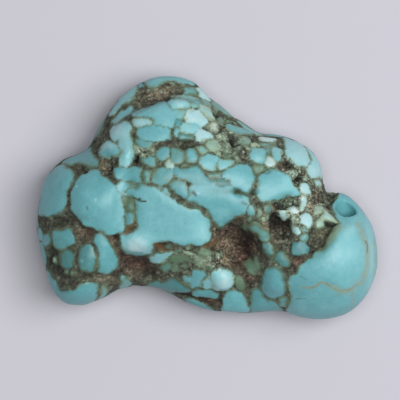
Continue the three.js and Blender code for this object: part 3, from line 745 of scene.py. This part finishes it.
def write_points(mesh, points):
    """Moves the mesh's points to new places."""
    mesh.vertices.foreach_set("co", points.ravel())
    mesh.update()


def write_attribute(mesh, name, values):
    """Stores one value for each point, for the material to read."""
    attribute = mesh.attributes.new(name, "FLOAT", "POINT")
    attribute.data.foreach_set("value", values.astype(np.float32))


def stone_blank(net_size):
    """The CAD stone as one even, smooth net in millimetres."""
    net = bmesh.new()
    net.from_mesh(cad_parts["nugget"].data)
    bmesh.ops.remove_doubles(net, verts=net.verts, dist=1e-7)
    bmesh.ops.scale(net, vec=(1 / MM, 1 / MM, 1 / MM), verts=net.verts)
    blank = bpy.data.meshes.new("nugget_blank")
    net.to_mesh(blank)
    net.free()
    holder = bpy.data.objects.new("nugget_blank", blank)
    bpy.context.scene.collection.objects.link(holder)
    remesh = holder.modifiers.new("even_net", "REMESH")
    remesh.mode = "VOXEL"
    remesh.voxel_size = net_size
    bpy.context.view_layer.update()
    mesh = bpy.data.meshes.new_from_object(
        holder.evaluated_get(bpy.context.evaluated_depsgraph_get()))
    bpy.data.objects.remove(holder)
    bpy.data.meshes.remove(blank)
    points = read_points(mesh)
    edges = read_rows(mesh.edges, "vertices", 2, np.int64)
    hold = 1 - smooth_step(drill_distance(points), *TUNNEL_HOLD)
    write_points(mesh, relax(points, edges, hold, RELAX_ROUNDS))
    return mesh


def laid_flat(points, normals):
    """Plan position of each point, with the sides folded out around the edge."""
    outward = normals[:, :2] / np.maximum(np.linalg.norm(normals[:, :2], axis=1), 0.05)[:, None]
    drop = np.maximum(TOP_LEVEL - points[:, 2], 0)
    return points[:, :2] + outward * (drop * SIDE_FOLD)[:, None]


def nearest_two(best, second, owner, near, found, number):
    """Keeps the deepest and second deepest cobble at each point."""
    better = found > best[near]
    second[near] = np.where(better, best[near], np.maximum(second[near], found))
    owner[near[better]] = number
    best[near[better]] = found[better]


def seamed(best, second, gap):
    """Depth inside the cobbles once a seam is left where two of them meet."""
    return np.minimum(best, (best - second) * 0.5 - gap * 0.5)


def drawn_cobbles(plan, grow, gap):
    """Depth inside the drawn cobbles, and which cobble each point belongs to."""
    reach = 1.6
    best = np.full(len(plan), FAR_OUTSIDE)
    second = np.full(len(plan), FAR_OUTSIDE)
    owner = np.zeros(len(plan), int)
    for number, (_, _, corners) in enumerate(COBBLES):
        line = fine_line(corners, 4)
        beside = (plan > line.min(0) - reach) & (plan < line.max(0) + reach)
        near = np.nonzero(beside.all(1))[0]
        if len(near):
            found = signed_distance(plan[near], line) + grow
            nearest_two(best, second, owner, near, found, number)
    return seamed(best, second, gap), owner


def scattered_seeds(points, open_to, radii, rng, tries, spacing):
    """Middles and radii of random cobbles on the points that open_to allows."""
    seeds = np.zeros((0, 3))
    sizes = np.zeros(0)
    allowed = np.nonzero(open_to > 0)[0]
    least, usual, greatest = radii
    for _ in range(tries):
        pick = allowed[rng.integers(len(allowed))]
        size = float(np.clip(rng.lognormal(math.log(usual), 0.4), least, greatest))
        if rng.random() > open_to[pick]:
            continue
        place = points[pick]
        if (np.linalg.norm(seeds - place, axis=1) < spacing * (sizes + size)).any():
            continue
        seeds = np.vstack([seeds, place])
        sizes = np.append(sizes, size)
    return seeds, sizes


def scattered_cobbles(points, open_to, rng, radii, tries, spacing, gap):
    """Random cobbles: depth inside them, their number at each point, and how many."""
    seeds, sizes = scattered_seeds(points, open_to, radii, rng, tries, spacing)
    best = np.full(len(points), FAR_OUTSIDE)
    second = np.full(len(points), FAR_OUTSIDE)
    owner = np.zeros(len(points), int)
    for number, (place, size) in enumerate(zip(seeds, sizes)):
        turn, _ = np.linalg.qr(rng.normal(size=(3, 3)))
        stretch = np.array([1.15, rng.uniform(0.7, 1.0), rng.uniform(0.7, 1.0)])
        near = np.nonzero(np.abs(points - place).max(1) < size * 1.3 + 0.8)[0]
        local = np.abs((points[near] - place) @ turn / stretch) ** BOXINESS
        nearest_two(best, second, owner, near, size - local.sum(1) ** (1 / BOXINESS), number)
    return seamed(best, second, gap), owner, len(seeds)


def ragged(points, grain, size, reach):
    """Points pushed about by noise, so that what is drawn on them gets uneven edges."""
    sway = [grain.layers(points + 31.0 * axis, size, 2) for axis in (1, 2, 3)]
    return points + reach * np.stack(sway, axis=1)


def pattern(points, normals, seed):
    """Cobbles, matrix, stains, painted shade and painted highlights at every point: a dictionary of
    fields.
    """
    grain = Grain(seed)
    rng = np.random.default_rng(seed)
    spread = ragged(ragged(points, grain, 0.9, 0.12), grain, 0.33, 0.05)
    plan = laid_flat(spread, normals)
    top = smooth_step(points[:, 2], *TOP_FADE)
    tunnel = 1 - smooth_step(drill_distance(points), *TUNNEL_SKIN)

    depth, owner = drawn_cobbles(plan, COBBLE_GROW, COBBLE_GAP)
    depth = depth - line_field(plan, SEAMS) + oval_field(plan, SOLID)
    depth = np.maximum(depth - 4 * (1 - top), -3.0)
    tone = np.array([item[0] for item in COBBLES])[owner]
    green = np.array([item[1] for item in COBBLES])[owner]

    bare = oval_field(plan, BARE)
    open_side = (points[:, 2] < SIDE_LEVEL) & (depth < -0.45) & (tunnel < 0.1)
    wide, wide_owner, count = scattered_cobbles(
        spread, open_side.astype(float), rng, **SIDE_COBBLES)
    wide = np.minimum(wide, -depth - 0.2) - 2 * bare
    chosen = wide > depth
    wide_tone = np.clip(rng.normal(-0.05, 0.2, count), -0.5, 0.5)[wide_owner]
    wide_green = (rng.random(count) ** 3 * 0.8)[wide_owner]
    tone = np.where(chosen, wide_tone, tone)
    green = np.where(chosen, wide_green, green)
    depth = np.maximum(depth, wide)

    brown = oval_field(plan, BROWN)
    # the dark field: darker matrix patches, with painted shade in the pits, hollows and under ledges
    dark = oval_field(plan, DARK_AND_SHADE) + oval_field(plan, PITS)
    stained_and_shaded = np.clip((brown + dark) * top + bare, 0, 1)
    crowd = np.clip(oval_field(plan, CRUMB_AREAS) * top + 0.02 * (1 - top), 0, 1)
    crowd = crowd * (1 - 0.95 * stained_and_shaded) * ((depth < -0.12) & (tunnel < 0.1))
    crumbled = ragged(ragged(points, grain, 0.5, 0.14), grain, 0.25, 0.06)
    crumb, crumb_owner, count = scattered_cobbles(crumbled, crowd, rng, **CRUMBS)
    crumb = np.minimum(crumb, -depth - 0.14)
    chosen = crumb > depth
    crumb_tone = rng.normal(0.0, 0.25, count)[crumb_owner] + oval_field(plan, PALE_CRUMBS)
    crumb_green = rng.uniform(0.45, 1.1, count)[crumb_owner]
    tone = np.where(chosen, crumb_tone, tone)
    green = np.where(chosen, crumb_green, green)
    depth = np.maximum(depth, crumb)

    return {
        "plan": plan,
        "top": top,
        "tunnel": tunnel,
        "cobble_depth": np.clip(depth, -1.5, 1.5) * (1 - tunnel) + 0.6 * tunnel,
        # tone: each cobble's own tone and pale patches, with painted highlights on the +X lobe
        "tone": (tone + oval_field(plan, PALE_AND_HIGHLIGHT) * top) * (1 - tunnel) - 0.1 * tunnel,
        "green": (green + oval_field(plan, GREENING) * top) * (1 - tunnel),
        "brown": np.clip(brown, 0, 1) * top,
        "dark": np.clip(dark, 0, 1) * top,
        "rough": np.clip(oval_field(plan, ROUGH), 0, 1) * top,
        # pale matrix patches, with painted light on one slope of the brown hollow
        "sand_and_lit_slope": np.clip(oval_field(plan, SAND_AND_LIT_SLOPE), 0, 1) * top,
        "rust": line_field(plan, RUST_LINES) * top,
        "tan": line_field(plan, TAN_LINES) * top,
        "crack": line_field(plan, CRACKS) * top,
    }


def raised(points, normals, fields, seed, edge_round, vein_depth):
    """Points moved in or out of the stone by the cobbles, the matrix and the pits."""
    grain = Grain(seed + 1)
    depth = fields["cobble_depth"]
    plan = fields["plan"]
    top = fields["top"]
    inside = np.maximum(depth, 0)
    outside = np.maximum(-depth, 0)
    matrix = vein_depth + oval_field(plan, MATRIX_DEPTH) * top
    matrix = matrix * (1 + 0.35 * grain.layer(points, 2.2))
    height = -edge_round * np.exp(-inside / EDGE_RUN)
    height += DOME_HEIGHT * (1 - np.exp(-(inside / DOME_RUN) ** 2))
    height -= matrix * (1 - np.exp(-(outside / MATRIX_RUN) ** 1.5))
    hollow = oval_field(plan, PITS) * top
    grit = 0.12 + 0.16 * fields["rough"] + 0.2 * np.clip(hollow, 0, 1)
    height += grit * grain.layers(points, 0.5, 3) * smooth_step(outside, 0.0, 0.2)
    height += 0.035 * grain.layers(points, 2.0, 2)
    height += oval_field(plan, SWELLS) * top
    height -= hollow
    height *= 1 - fields["tunnel"]
    moved = points + normals * height[:, None]
    moved[:, 2] = np.maximum(moved[:, 2], 0)
    return mouth_worn(moved)


def mouth_worn(points):
    """The drilled hole's upper mouth turned and dragged a little out of round."""
    offset = points[:, :2] - MOUTH
    near = np.exp(-((offset / MOUTH_REACH) ** 2).sum(1))
    near = near * smooth_step(points[:, 2], *MOUTH_HEIGHTS)
    turn = np.radians(MOUTH_TURN) * near
    across = offset[:, 0] * np.cos(turn) - offset[:, 1] * np.sin(turn)
    along = offset[:, 0] * np.sin(turn) + offset[:, 1] * np.cos(turn)
    along = along * (1 + MOUTH_STRETCH * near)
    worn = points.copy()
    worn[:, :2] = MOUTH + np.stack([across, along], axis=1) + near[:, None] * MOUTH_DRAG
    return worn


def linear(red, green, blue):
    """Colour given as 0 to 255 screen levels, as the renderer's own values."""
    levels = np.array([red, green, blue]) / 255
    return tuple(np.where(levels <= 0.04045, levels / 12.92, ((levels + 0.055) / 1.055) ** 2.4))


class Board:
    """Adds nodes to a material and wires them."""

    def __init__(self, name):
        self.material = bpy.data.materials.new(name)
        self.material.use_nodes = True
        self.tree = self.material.node_tree
        self.shader = self.tree.nodes["Principled BSDF"]
        place = self.tree.nodes.new("ShaderNodeTexCoord")
        mapping = self.tree.nodes.new("ShaderNodeMapping")
        mapping.inputs["Scale"].default_value = (1 / MM,) * 3
        self.tree.links.new(place.outputs["Object"], mapping.inputs["Vector"])
        self.place = mapping.outputs["Vector"]

    def wire(self, socket, value):
        """Links a socket to another socket, or sets it to a number or a colour."""
        if isinstance(value, bpy.types.NodeSocket):
            self.tree.links.new(value, socket)
        elif isinstance(value, tuple) and socket.type == "RGBA":
            socket.default_value = (*value, 1.0)
        else:
            socket.default_value = value

    def attribute(self, name):
        """One of the fields stored on the skin."""
        node = self.tree.nodes.new("ShaderNodeAttribute")
        node.attribute_name = name
        return node.outputs["Fac"]

    def noise(self, lumps_per_mm, detail=3.0, roughness=0.55, shift=0.0):
        """Even noise about zero, from about -0.5 to 0.5."""
        node = self.tree.nodes.new("ShaderNodeTexNoise")
        node.noise_dimensions = "4D"
        self.wire(node.inputs["Vector"], self.place)
        node.inputs["W"].default_value = shift
        node.inputs["Scale"].default_value = lumps_per_mm
        node.inputs["Detail"].default_value = detail
        node.inputs["Roughness"].default_value = roughness
        return self.math("SUBTRACT", node.outputs["Fac"], 0.5)

    def stirred(self, value, strength, *noise):
        """A value with noise of some strength added to it."""
        return self.math("MULTIPLY_ADD", self.noise(*noise), strength, value)

    def cells(self, cells_per_mm):
        """A random level from 0 to 1 for each small grain, and the distance to its middle."""
        node = self.tree.nodes.new("ShaderNodeTexVoronoi")
        self.wire(node.inputs["Vector"], self.place)
        node.inputs["Scale"].default_value = cells_per_mm
        parts = self.tree.nodes.new("ShaderNodeSeparateColor")
        self.wire(parts.inputs["Color"], node.outputs["Color"])
        return parts.outputs["Red"], node.outputs["Distance"]

    def math(self, operation, first, second=0.0, third=0.0):
        """One sum or other step on up to three values."""
        node = self.tree.nodes.new("ShaderNodeMath")
        node.operation = operation
        for socket, value in zip(node.inputs, (first, second, third)):
            self.wire(socket, value)
        return node.outputs["Value"]

    def span(self, value, low, high, start=0.0, end=1.0):
        """Evenly curved change from start to end as value goes from low to high."""
        node = self.tree.nodes.new("ShaderNodeMapRange")
        node.interpolation_type = "SMOOTHSTEP"
        for socket, item in zip(node.inputs, (value, low, high, start, end)):
            self.wire(socket, item)
        return node.outputs["Result"]

    def grey(self, level):
        """The grey of a level."""
        node = self.tree.nodes.new("ShaderNodeCombineColor")
        for socket in node.inputs:
            self.wire(socket, level)
        return node.outputs["Color"]

    def blend(self, share, first, second, kind="MIX"):
        """The first colour where share is 0 and the second, or its effect, where it is 1."""
        node = self.tree.nodes.new("ShaderNodeMix")
        node.data_type = "RGBA"
        node.blend_type = kind
        node.clamp_factor = True
        factor = next(item for item in node.inputs if item.identifier == "Factor_Float")
        self.wire(factor, share)
        for name, value in (("A_Color", first), ("B_Color", second)):
            self.wire(next(item for item in node.inputs if item.identifier == name), value)
        return next(item for item in node.outputs if item.identifier == "Result_Color")

    def ramp(self, value, stops):
        """Colour that runs through the stops as value goes from 0 to 1."""
        node = self.tree.nodes.new("ShaderNodeValToRGB")
        points = node.color_ramp.elements
        while len(points) < len(stops):
            points.new(1.0)
        for point, (at, colour) in zip(points, stops):
            point.position = at
            point.color = (*colour, 1.0)
        self.wire(node.inputs["Fac"], value)
        return node.outputs["Color"]


def cobble_share(board, rough):
    """Share of cobble in the skin, uneven depth inside the cobbles, and nearness to their rim."""
    depth = board.attribute("cobble_depth")
    wander = board.noise(0.5, 2.0)
    edge = board.math("MULTIPLY_ADD", wander, 0.3, depth)
    edge = board.stirred(edge, 0.22, 2.2, 3.0)
    edge = board.stirred(edge, 0.26, 6.0, 4.0)
    crumble = board.math("MULTIPLY", board.noise(3.4, 4.0, 0.6), rough)
    edge = board.math("MULTIPLY_ADD", crumble, 0.5, edge)
    faint = board.span(board.noise(0.35, 2.0, 0.5, 7.0), -0.06, 0.12, 0.0, 0.6)
    vein = board.math("MULTIPLY", board.span(depth, -0.35, -0.05), faint)
    cobble = board.math("MAXIMUM", board.span(edge, -0.2, 0.13), vein)
    rim = board.span(board.math("MULTIPLY_ADD", wander, 0.9, edge), -0.1, 0.34, 0.8, 0.0)
    return cobble, edge, rim


def turquoise(board, look, green, rim):
    """Colour of the cobbles, with their tan vein, hairlines and specks."""
    tone = board.stirred(board.attribute("tone"), 0.45, 0.6, 4.0, 0.6)
    tone = board.stirred(tone, 0.26, 3.0, 3.0)
    tone = board.math("MULTIPLY_ADD", rim, -0.2, tone)
    tone = board.math("MULTIPLY_ADD", tone, 0.5, 0.5)
    blue = board.ramp(tone, [
        (0.0, linear(50, 112, 112)),
        (0.3, linear(82, 146, 150)),
        (0.5, tuple(look.cobble_colour)),
        (0.66, linear(138, 203, 208)),
        (0.82, linear(177, 221, 224)),
        (1.0, linear(222, 239, 237)),
    ])
    pale_green = board.ramp(tone, [
        (0.0, linear(50, 66, 50)),
        (0.45, linear(100, 128, 102)),
        (0.7, linear(158, 184, 156)),
        (1.0, linear(208, 220, 198)),
    ])
    stone = board.blend(board.span(green, 0.05, 1.05), blue, pale_green)
    tan = board.stirred(board.attribute("tan"), 0.5, 1.6, 3.0)
    stone = board.blend(board.span(tan, 0.0, 1.0, 0.0, 0.85), stone, linear(160, 152, 112))
    crack = board.stirred(board.attribute("crack"), 0.5, 2.0, 3.0)
    stone = board.blend(board.span(crack, 0.12, 0.8), stone, linear(80, 92, 74))
    speck = board.span(board.noise(2.6, 2.0, 0.4, 3.0), 0.2, 0.27)
    return board.blend(board.math("MULTIPLY", speck, 0.35), stone, linear(60, 92, 88))


def gravel_level(board, rough):
    """Light and dark of the matrix, from soft blotches to single grains."""
    blotch = board.stirred(0.45, 1.2, 0.9, 3.0)
    grain = board.math("MULTIPLY_ADD", rough, 1.6, 1.0)
    gravel = board.stirred(blotch, grain, 3.0, 4.0, 0.7)
    # a little darker in rough areas: painted shade in the gaps between the crumbs
    gravel = board.math("MULTIPLY_ADD", rough, -0.06, gravel)
    speckle = board.math("MULTIPLY_ADD", rough, 0.34, 0.22)
    level, _ = board.cells(4.4)
    level = board.math("SUBTRACT", level, 0.5)
    return board.math("MULTIPLY_ADD", level, speckle, gravel)


def matrix_colour(board, look, gravel, rough):
    """Colour of the matrix: grey-green, earth, pale patches, one of them a painted lit slope, pebbles,
    and darkening that is partly painted shade in hollows, pits and under ledges.
    """
    matrix = board.ramp(gravel, [
        (0.1, linear(37, 36, 30)),
        (0.34, linear(74, 75, 62)),
        (0.52, tuple(look.matrix_colour)),
        (0.7, linear(128, 140, 119)),
        (0.9, linear(186, 190, 168)),
    ])
    earth = board.ramp(gravel, [
        (0.12, linear(36, 26, 22)),
        (0.4, linear(76, 58, 48)),
        (0.62, linear(108, 84, 70)),
        (0.9, linear(178, 152, 134)),
    ])
    brown = board.attribute("brown")
    matrix = board.blend(brown, matrix, earth)
    sand_and_lit_slope = board.ramp(gravel, [
        (0.1, linear(92, 82, 62)),
        (0.4, linear(140, 130, 104)),
        (0.7, linear(182, 172, 146)),
        (0.95, linear(214, 208, 190)),
    ])
    # pale patches, and painted light on one slope of the brown hollow
    matrix = board.blend(board.attribute("sand_and_lit_slope"), matrix, sand_and_lit_slope)
    level, reach = board.cells(2.2)
    reach = board.stirred(reach, 0.5, 5.0, 3.0)
    pebble = board.math("MULTIPLY", board.span(reach, 0.45, 0.25), board.span(level, 0.4, 0.5))
    pebble = board.math("MULTIPLY", pebble, board.span(rough, 0.15, 0.7))
    pebble = board.math("MULTIPLY", pebble, board.span(brown, 0.1, 0.6, 1.0, 0.15))
    matrix = board.blend(pebble, matrix, board.ramp(level, [
        (0.45, linear(88, 106, 88)),
        (0.75, linear(128, 150, 130)),
        (1.0, linear(196, 212, 196)),
    ]))
    # darkening by the dark field: partly the matrix's own darker patches, partly painted shade in pits,
    # hollows and under ledges
    shade = board.span(board.attribute("dark"), 0.0, 1.0, 1.0, 0.2)
    return board.blend(1.0, matrix, board.grey(shade), "MULTIPLY")


def grainy_where_green(board, stone, green, gravel, rough):
    """The cobbles' colour, broken into grains where green crumbs lie in rough matrix."""
    grainy = board.span(rough, 0.3, 0.8, 0.0, 0.7)
    grainy = board.math("MULTIPLY", board.span(green, 0.45, 0.95), grainy)
    return board.blend(grainy, stone, board.ramp(gravel, [
        (0.12, linear(62, 68, 54)),
        (0.38, linear(112, 126, 106)),
        (0.62, linear(162, 180, 156)),
        (0.9, linear(212, 222, 204)),
    ]))


def surface_grain(board, edge):
    """Finest grain of the skin: a faint one on the cobbles and a coarse one on the matrix."""
    pitted = board.math(
        "MULTIPLY", board.noise(5.0, 5.0, 0.75), board.span(edge, 0.05, -0.05, 0.0, 1.3))
    bump = board.tree.nodes.new("ShaderNodeBump")
    bump.inputs["Strength"].default_value = 0.7
    bump.inputs["Distance"].default_value = 0.3 * MM
    board.wire(bump.inputs["Height"], board.stirred(pitted, 0.05, 4.0, 4.0, 0.6))
    board.wire(board.shader.inputs["Normal"], bump.outputs["Normal"])


def stone_material(look):
    """Waxed turquoise cobbles and rough brown matrix, from the fields on the skin."""
    board = Board("turquoise_in_matrix")
    rough = board.attribute("rough")
    cobble, edge, rim = cobble_share(board, rough)
    green = board.math("ADD", board.stirred(board.attribute("green"), 0.6, 1.3, 3.0), rim)
    gravel = gravel_level(board, rough)
    stone = turquoise(board, look, green, rim)
    stone = grainy_where_green(board, stone, green, gravel, rough)
    skin = board.blend(cobble, matrix_colour(board, look, gravel, rough), stone)
    rust = board.stirred(board.attribute("rust"), 0.8, 2.0, 3.0)
    rust = board.math("MULTIPLY", board.span(rust, 0.25, 0.9, 0.0, 0.7), board.span(edge, 0.4, 0.0))
    skin = board.blend(rust, skin, linear(118, 92, 56))
    board.wire(board.shader.inputs["Base Color"], skin)
    board.wire(board.shader.inputs["Roughness"], board.span(edge, -0.07, 0.06, 0.9, look.polish))
    surface_grain(board, edge)
    return board.material


def floor_material(look):
    """Plain pale paper with a barely visible unevenness."""
    board = Board("pale_paper")
    soft = board.stirred(0.5, 0.25, 0.05, 2.0)
    shade = Vector(look.floor_colour)
    board.wire(board.shader.inputs["Base Color"], board.ramp(soft, [
        (0.3, tuple(shade * 0.985)),
        (0.7, tuple(shade * 1.015)),
    ]))
    board.shader.inputs["Roughness"].default_value = 0.9
    board.shader.inputs["Specular IOR Level"].default_value = 0.2
    return board.material


class NuggetStoneSettings(bpy.types.PropertyGroup):
    """Sizes and colours of the stone."""

    net_size: FloatProperty(
        name="Net size", description="Spacing of the points of the skin, in millimetres",
        default=0.178, min=0.12, max=1.0)
    seed: IntProperty(
        name="Seed", description="Start of the random cobbles and grit", default=11, min=0)
    edge_round: FloatProperty(
        name="Cobble edge", description="How far the edge of a cobble rolls over, in millimetres",
        default=0.05, min=0.0, max=0.5)
    vein_depth: FloatProperty(
        name="Vein depth", description="How deep the plain matrix lies, in millimetres",
        default=0.12, min=0.0, max=1.0)
    polish: FloatProperty(
        name="Roughness", description="Roughness of the waxed cobbles",
        default=0.42, min=0.0, max=1.0, subtype="FACTOR")
    cobble_colour: FloatVectorProperty(
        name="Cobbles", description="Middle colour of the turquoise cobbles",
        default=linear(108, 178, 184), size=3, min=0.0, max=1.0, subtype="COLOR")
    matrix_colour: FloatVectorProperty(
        name="Matrix", description="Middle colour of the matrix between the cobbles",
        default=linear(97, 103, 85), size=3, min=0.0, max=1.0, subtype="COLOR")


class NuggetTableSettings(bpy.types.PropertyGroup):
    """Floor, lights and camera."""

    floor_colour: FloatVectorProperty(
        name="Floor", description="Colour of the floor",
        default=linear(206, 204, 212), size=3, min=0.0, max=1.0, subtype="COLOR")
    key_power: FloatProperty(
        name="Key light", description="Power of the soft light at the side",
        default=1.5, min=0.0, unit="POWER")
    overhead_power: FloatProperty(
        name="Overhead light", description="Power of the soft light above",
        default=1.4, min=0.0, unit="POWER")
    sky_strength: FloatProperty(
        name="Sky", description="Strength of the even light from all round",
        default=0.14, min=0.0)
    camera_height: FloatProperty(
        name="Camera height", description="Height of the camera above the table",
        default=0.5, min=0.1, unit="LENGTH")
    view_width: FloatProperty(
        name="View width", description="Width of the view at the widest line of the stone",
        default=0.04458, min=0.01, unit="LENGTH")


class NUGGET_OT_stone(bpy.types.Operator):
    """Build the cobbled skin of the nugget around the CAD stone"""

    bl_idname = "nugget.stone"
    bl_label = "Build Stone"

    def execute(self, context):
        look = context.scene.nugget_stone
        mesh = stone_blank(look.net_size)
        if not len(mesh.polygons):
            raise RuntimeError("the stone's net came out empty")
        points = read_points(mesh)
        normals = read_rows(mesh.vertex_normals, "vector", 3)
        fields = pattern(points, normals, look.seed)
        write_points(mesh, MM * raised(
            points, normals, fields, look.seed, look.edge_round, look.vein_depth))
        for name in FIELDS:
            write_attribute(mesh, name, fields[name])
        mesh.name = "nugget_skin"
        mesh.shade_smooth()
        mesh.materials.clear()
        mesh.materials.append(stone_material(look))
        stone = bpy.data.objects.new("nugget_skin", mesh)
        context.scene.collection.objects.link(stone)
        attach(stone, "root")
        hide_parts("nugget")
        return {"FINISHED"}


class NUGGET_OT_table(bpy.types.Operator):
    """Set out the floor, the lights and the camera"""

    bl_idname = "nugget.table"
    bl_label = "Set Table"

    def execute(self, context):
        look = context.scene.nugget_table
        net = bmesh.new()
        bmesh.ops.create_grid(net, x_segments=4, y_segments=4, size=FLOOR_HALF_WIDTH)
        bmesh.ops.translate(net, vec=(0, 0, -FLOOR_DROP), verts=net.verts)
        mesh = bpy.data.meshes.new("floor")
        net.to_mesh(mesh)
        net.free()
        mesh.materials.append(floor_material(look))
        floor = bpy.data.objects.new("floor", mesh)
        context.scene.collection.objects.link(floor)

        add_light(context, "key", look.key_power, **KEY_LIGHT)
        add_light(context, "overhead", look.overhead_power, **OVERHEAD_LIGHT)

        world = bpy.data.worlds.new("sky")
        world.use_nodes = True
        sky = world.node_tree.nodes["Background"]
        sky.inputs["Color"].default_value = SKY_COLOUR
        sky.inputs["Strength"].default_value = look.sky_strength
        context.scene.world = world
        context.scene.view_settings.view_transform = "Standard"

        lens = bpy.data.cameras.new("camera")
        lens.sensor_width = 36.0
        lens.lens = lens.sensor_width * (look.camera_height - WIDEST_LEVEL) / look.view_width
        lens.clip_start = 0.01
        camera = bpy.data.objects.new("camera", lens)
        camera.location = (*VIEW_CENTRE, look.camera_height)
        context.scene.collection.objects.link(camera)
        context.scene.camera = camera
        return {"FINISHED"}


def turned(azimuth, elevation):
    """Unit direction at an angle from +X and a height angle, both in degrees."""
    flat = math.radians(azimuth)
    high = math.radians(elevation)
    return Vector((
        math.cos(flat) * math.cos(high), math.sin(flat) * math.cos(high), math.sin(high)))


def add_light(context, name, power, azimuth, elevation, distance, width):
    """Puts a round soft light in some direction from the origin, facing it."""
    place = turned(azimuth, elevation) * distance
    lamp = bpy.data.lights.new(name, "AREA")
    lamp.shape = "DISK"
    lamp.size = width
    lamp.energy = power
    item = bpy.data.objects.new(name, lamp)
    item.location = place
    item.rotation_euler = (-place).to_track_quat("-Z", "Y").to_euler()
    context.scene.collection.objects.link(item)


class NUGGET_PT_panel(bpy.types.Panel):
    """Sizes and colours, and the steps that build the scene"""

    bl_idname = "NUGGET_PT_panel"
    bl_label = "Turquoise Nugget"
    bl_space_type = "VIEW_3D"
    bl_region_type = "UI"
    bl_category = "Nugget"

    def draw(self, context):
        layout = self.layout
        for settings in (context.scene.nugget_stone, context.scene.nugget_table):
            box = layout.box()
            for name in settings.bl_rna.properties.keys():
                if name not in ("rna_type", "name"):
                    box.prop(settings, name)
        layout.operator(NUGGET_OT_stone.bl_idname)
        layout.operator(NUGGET_OT_table.bl_idname)


CLASSES = (
    NuggetStoneSettings,
    NuggetTableSettings,
    NUGGET_OT_stone,
    NUGGET_OT_table,
    NUGGET_PT_panel,
)


def register():
    """Adds the classes and the two groups of settings."""
    for item in CLASSES:
        bpy.utils.register_class(item)
    bpy.types.Scene.nugget_stone = PointerProperty(type=NuggetStoneSettings)
    bpy.types.Scene.nugget_table = PointerProperty(type=NuggetTableSettings)


def unregister():
    """Takes them out again."""
    del bpy.types.Scene.nugget_table
    del bpy.types.Scene.nugget_stone
    for item in reversed(CLASSES):
        bpy.utils.unregister_class(item)


def main():
    """Builds the scene."""
    register()
    bpy.ops.nugget.stone()
    bpy.ops.nugget.table()


if __name__ == "__main__":
    main()
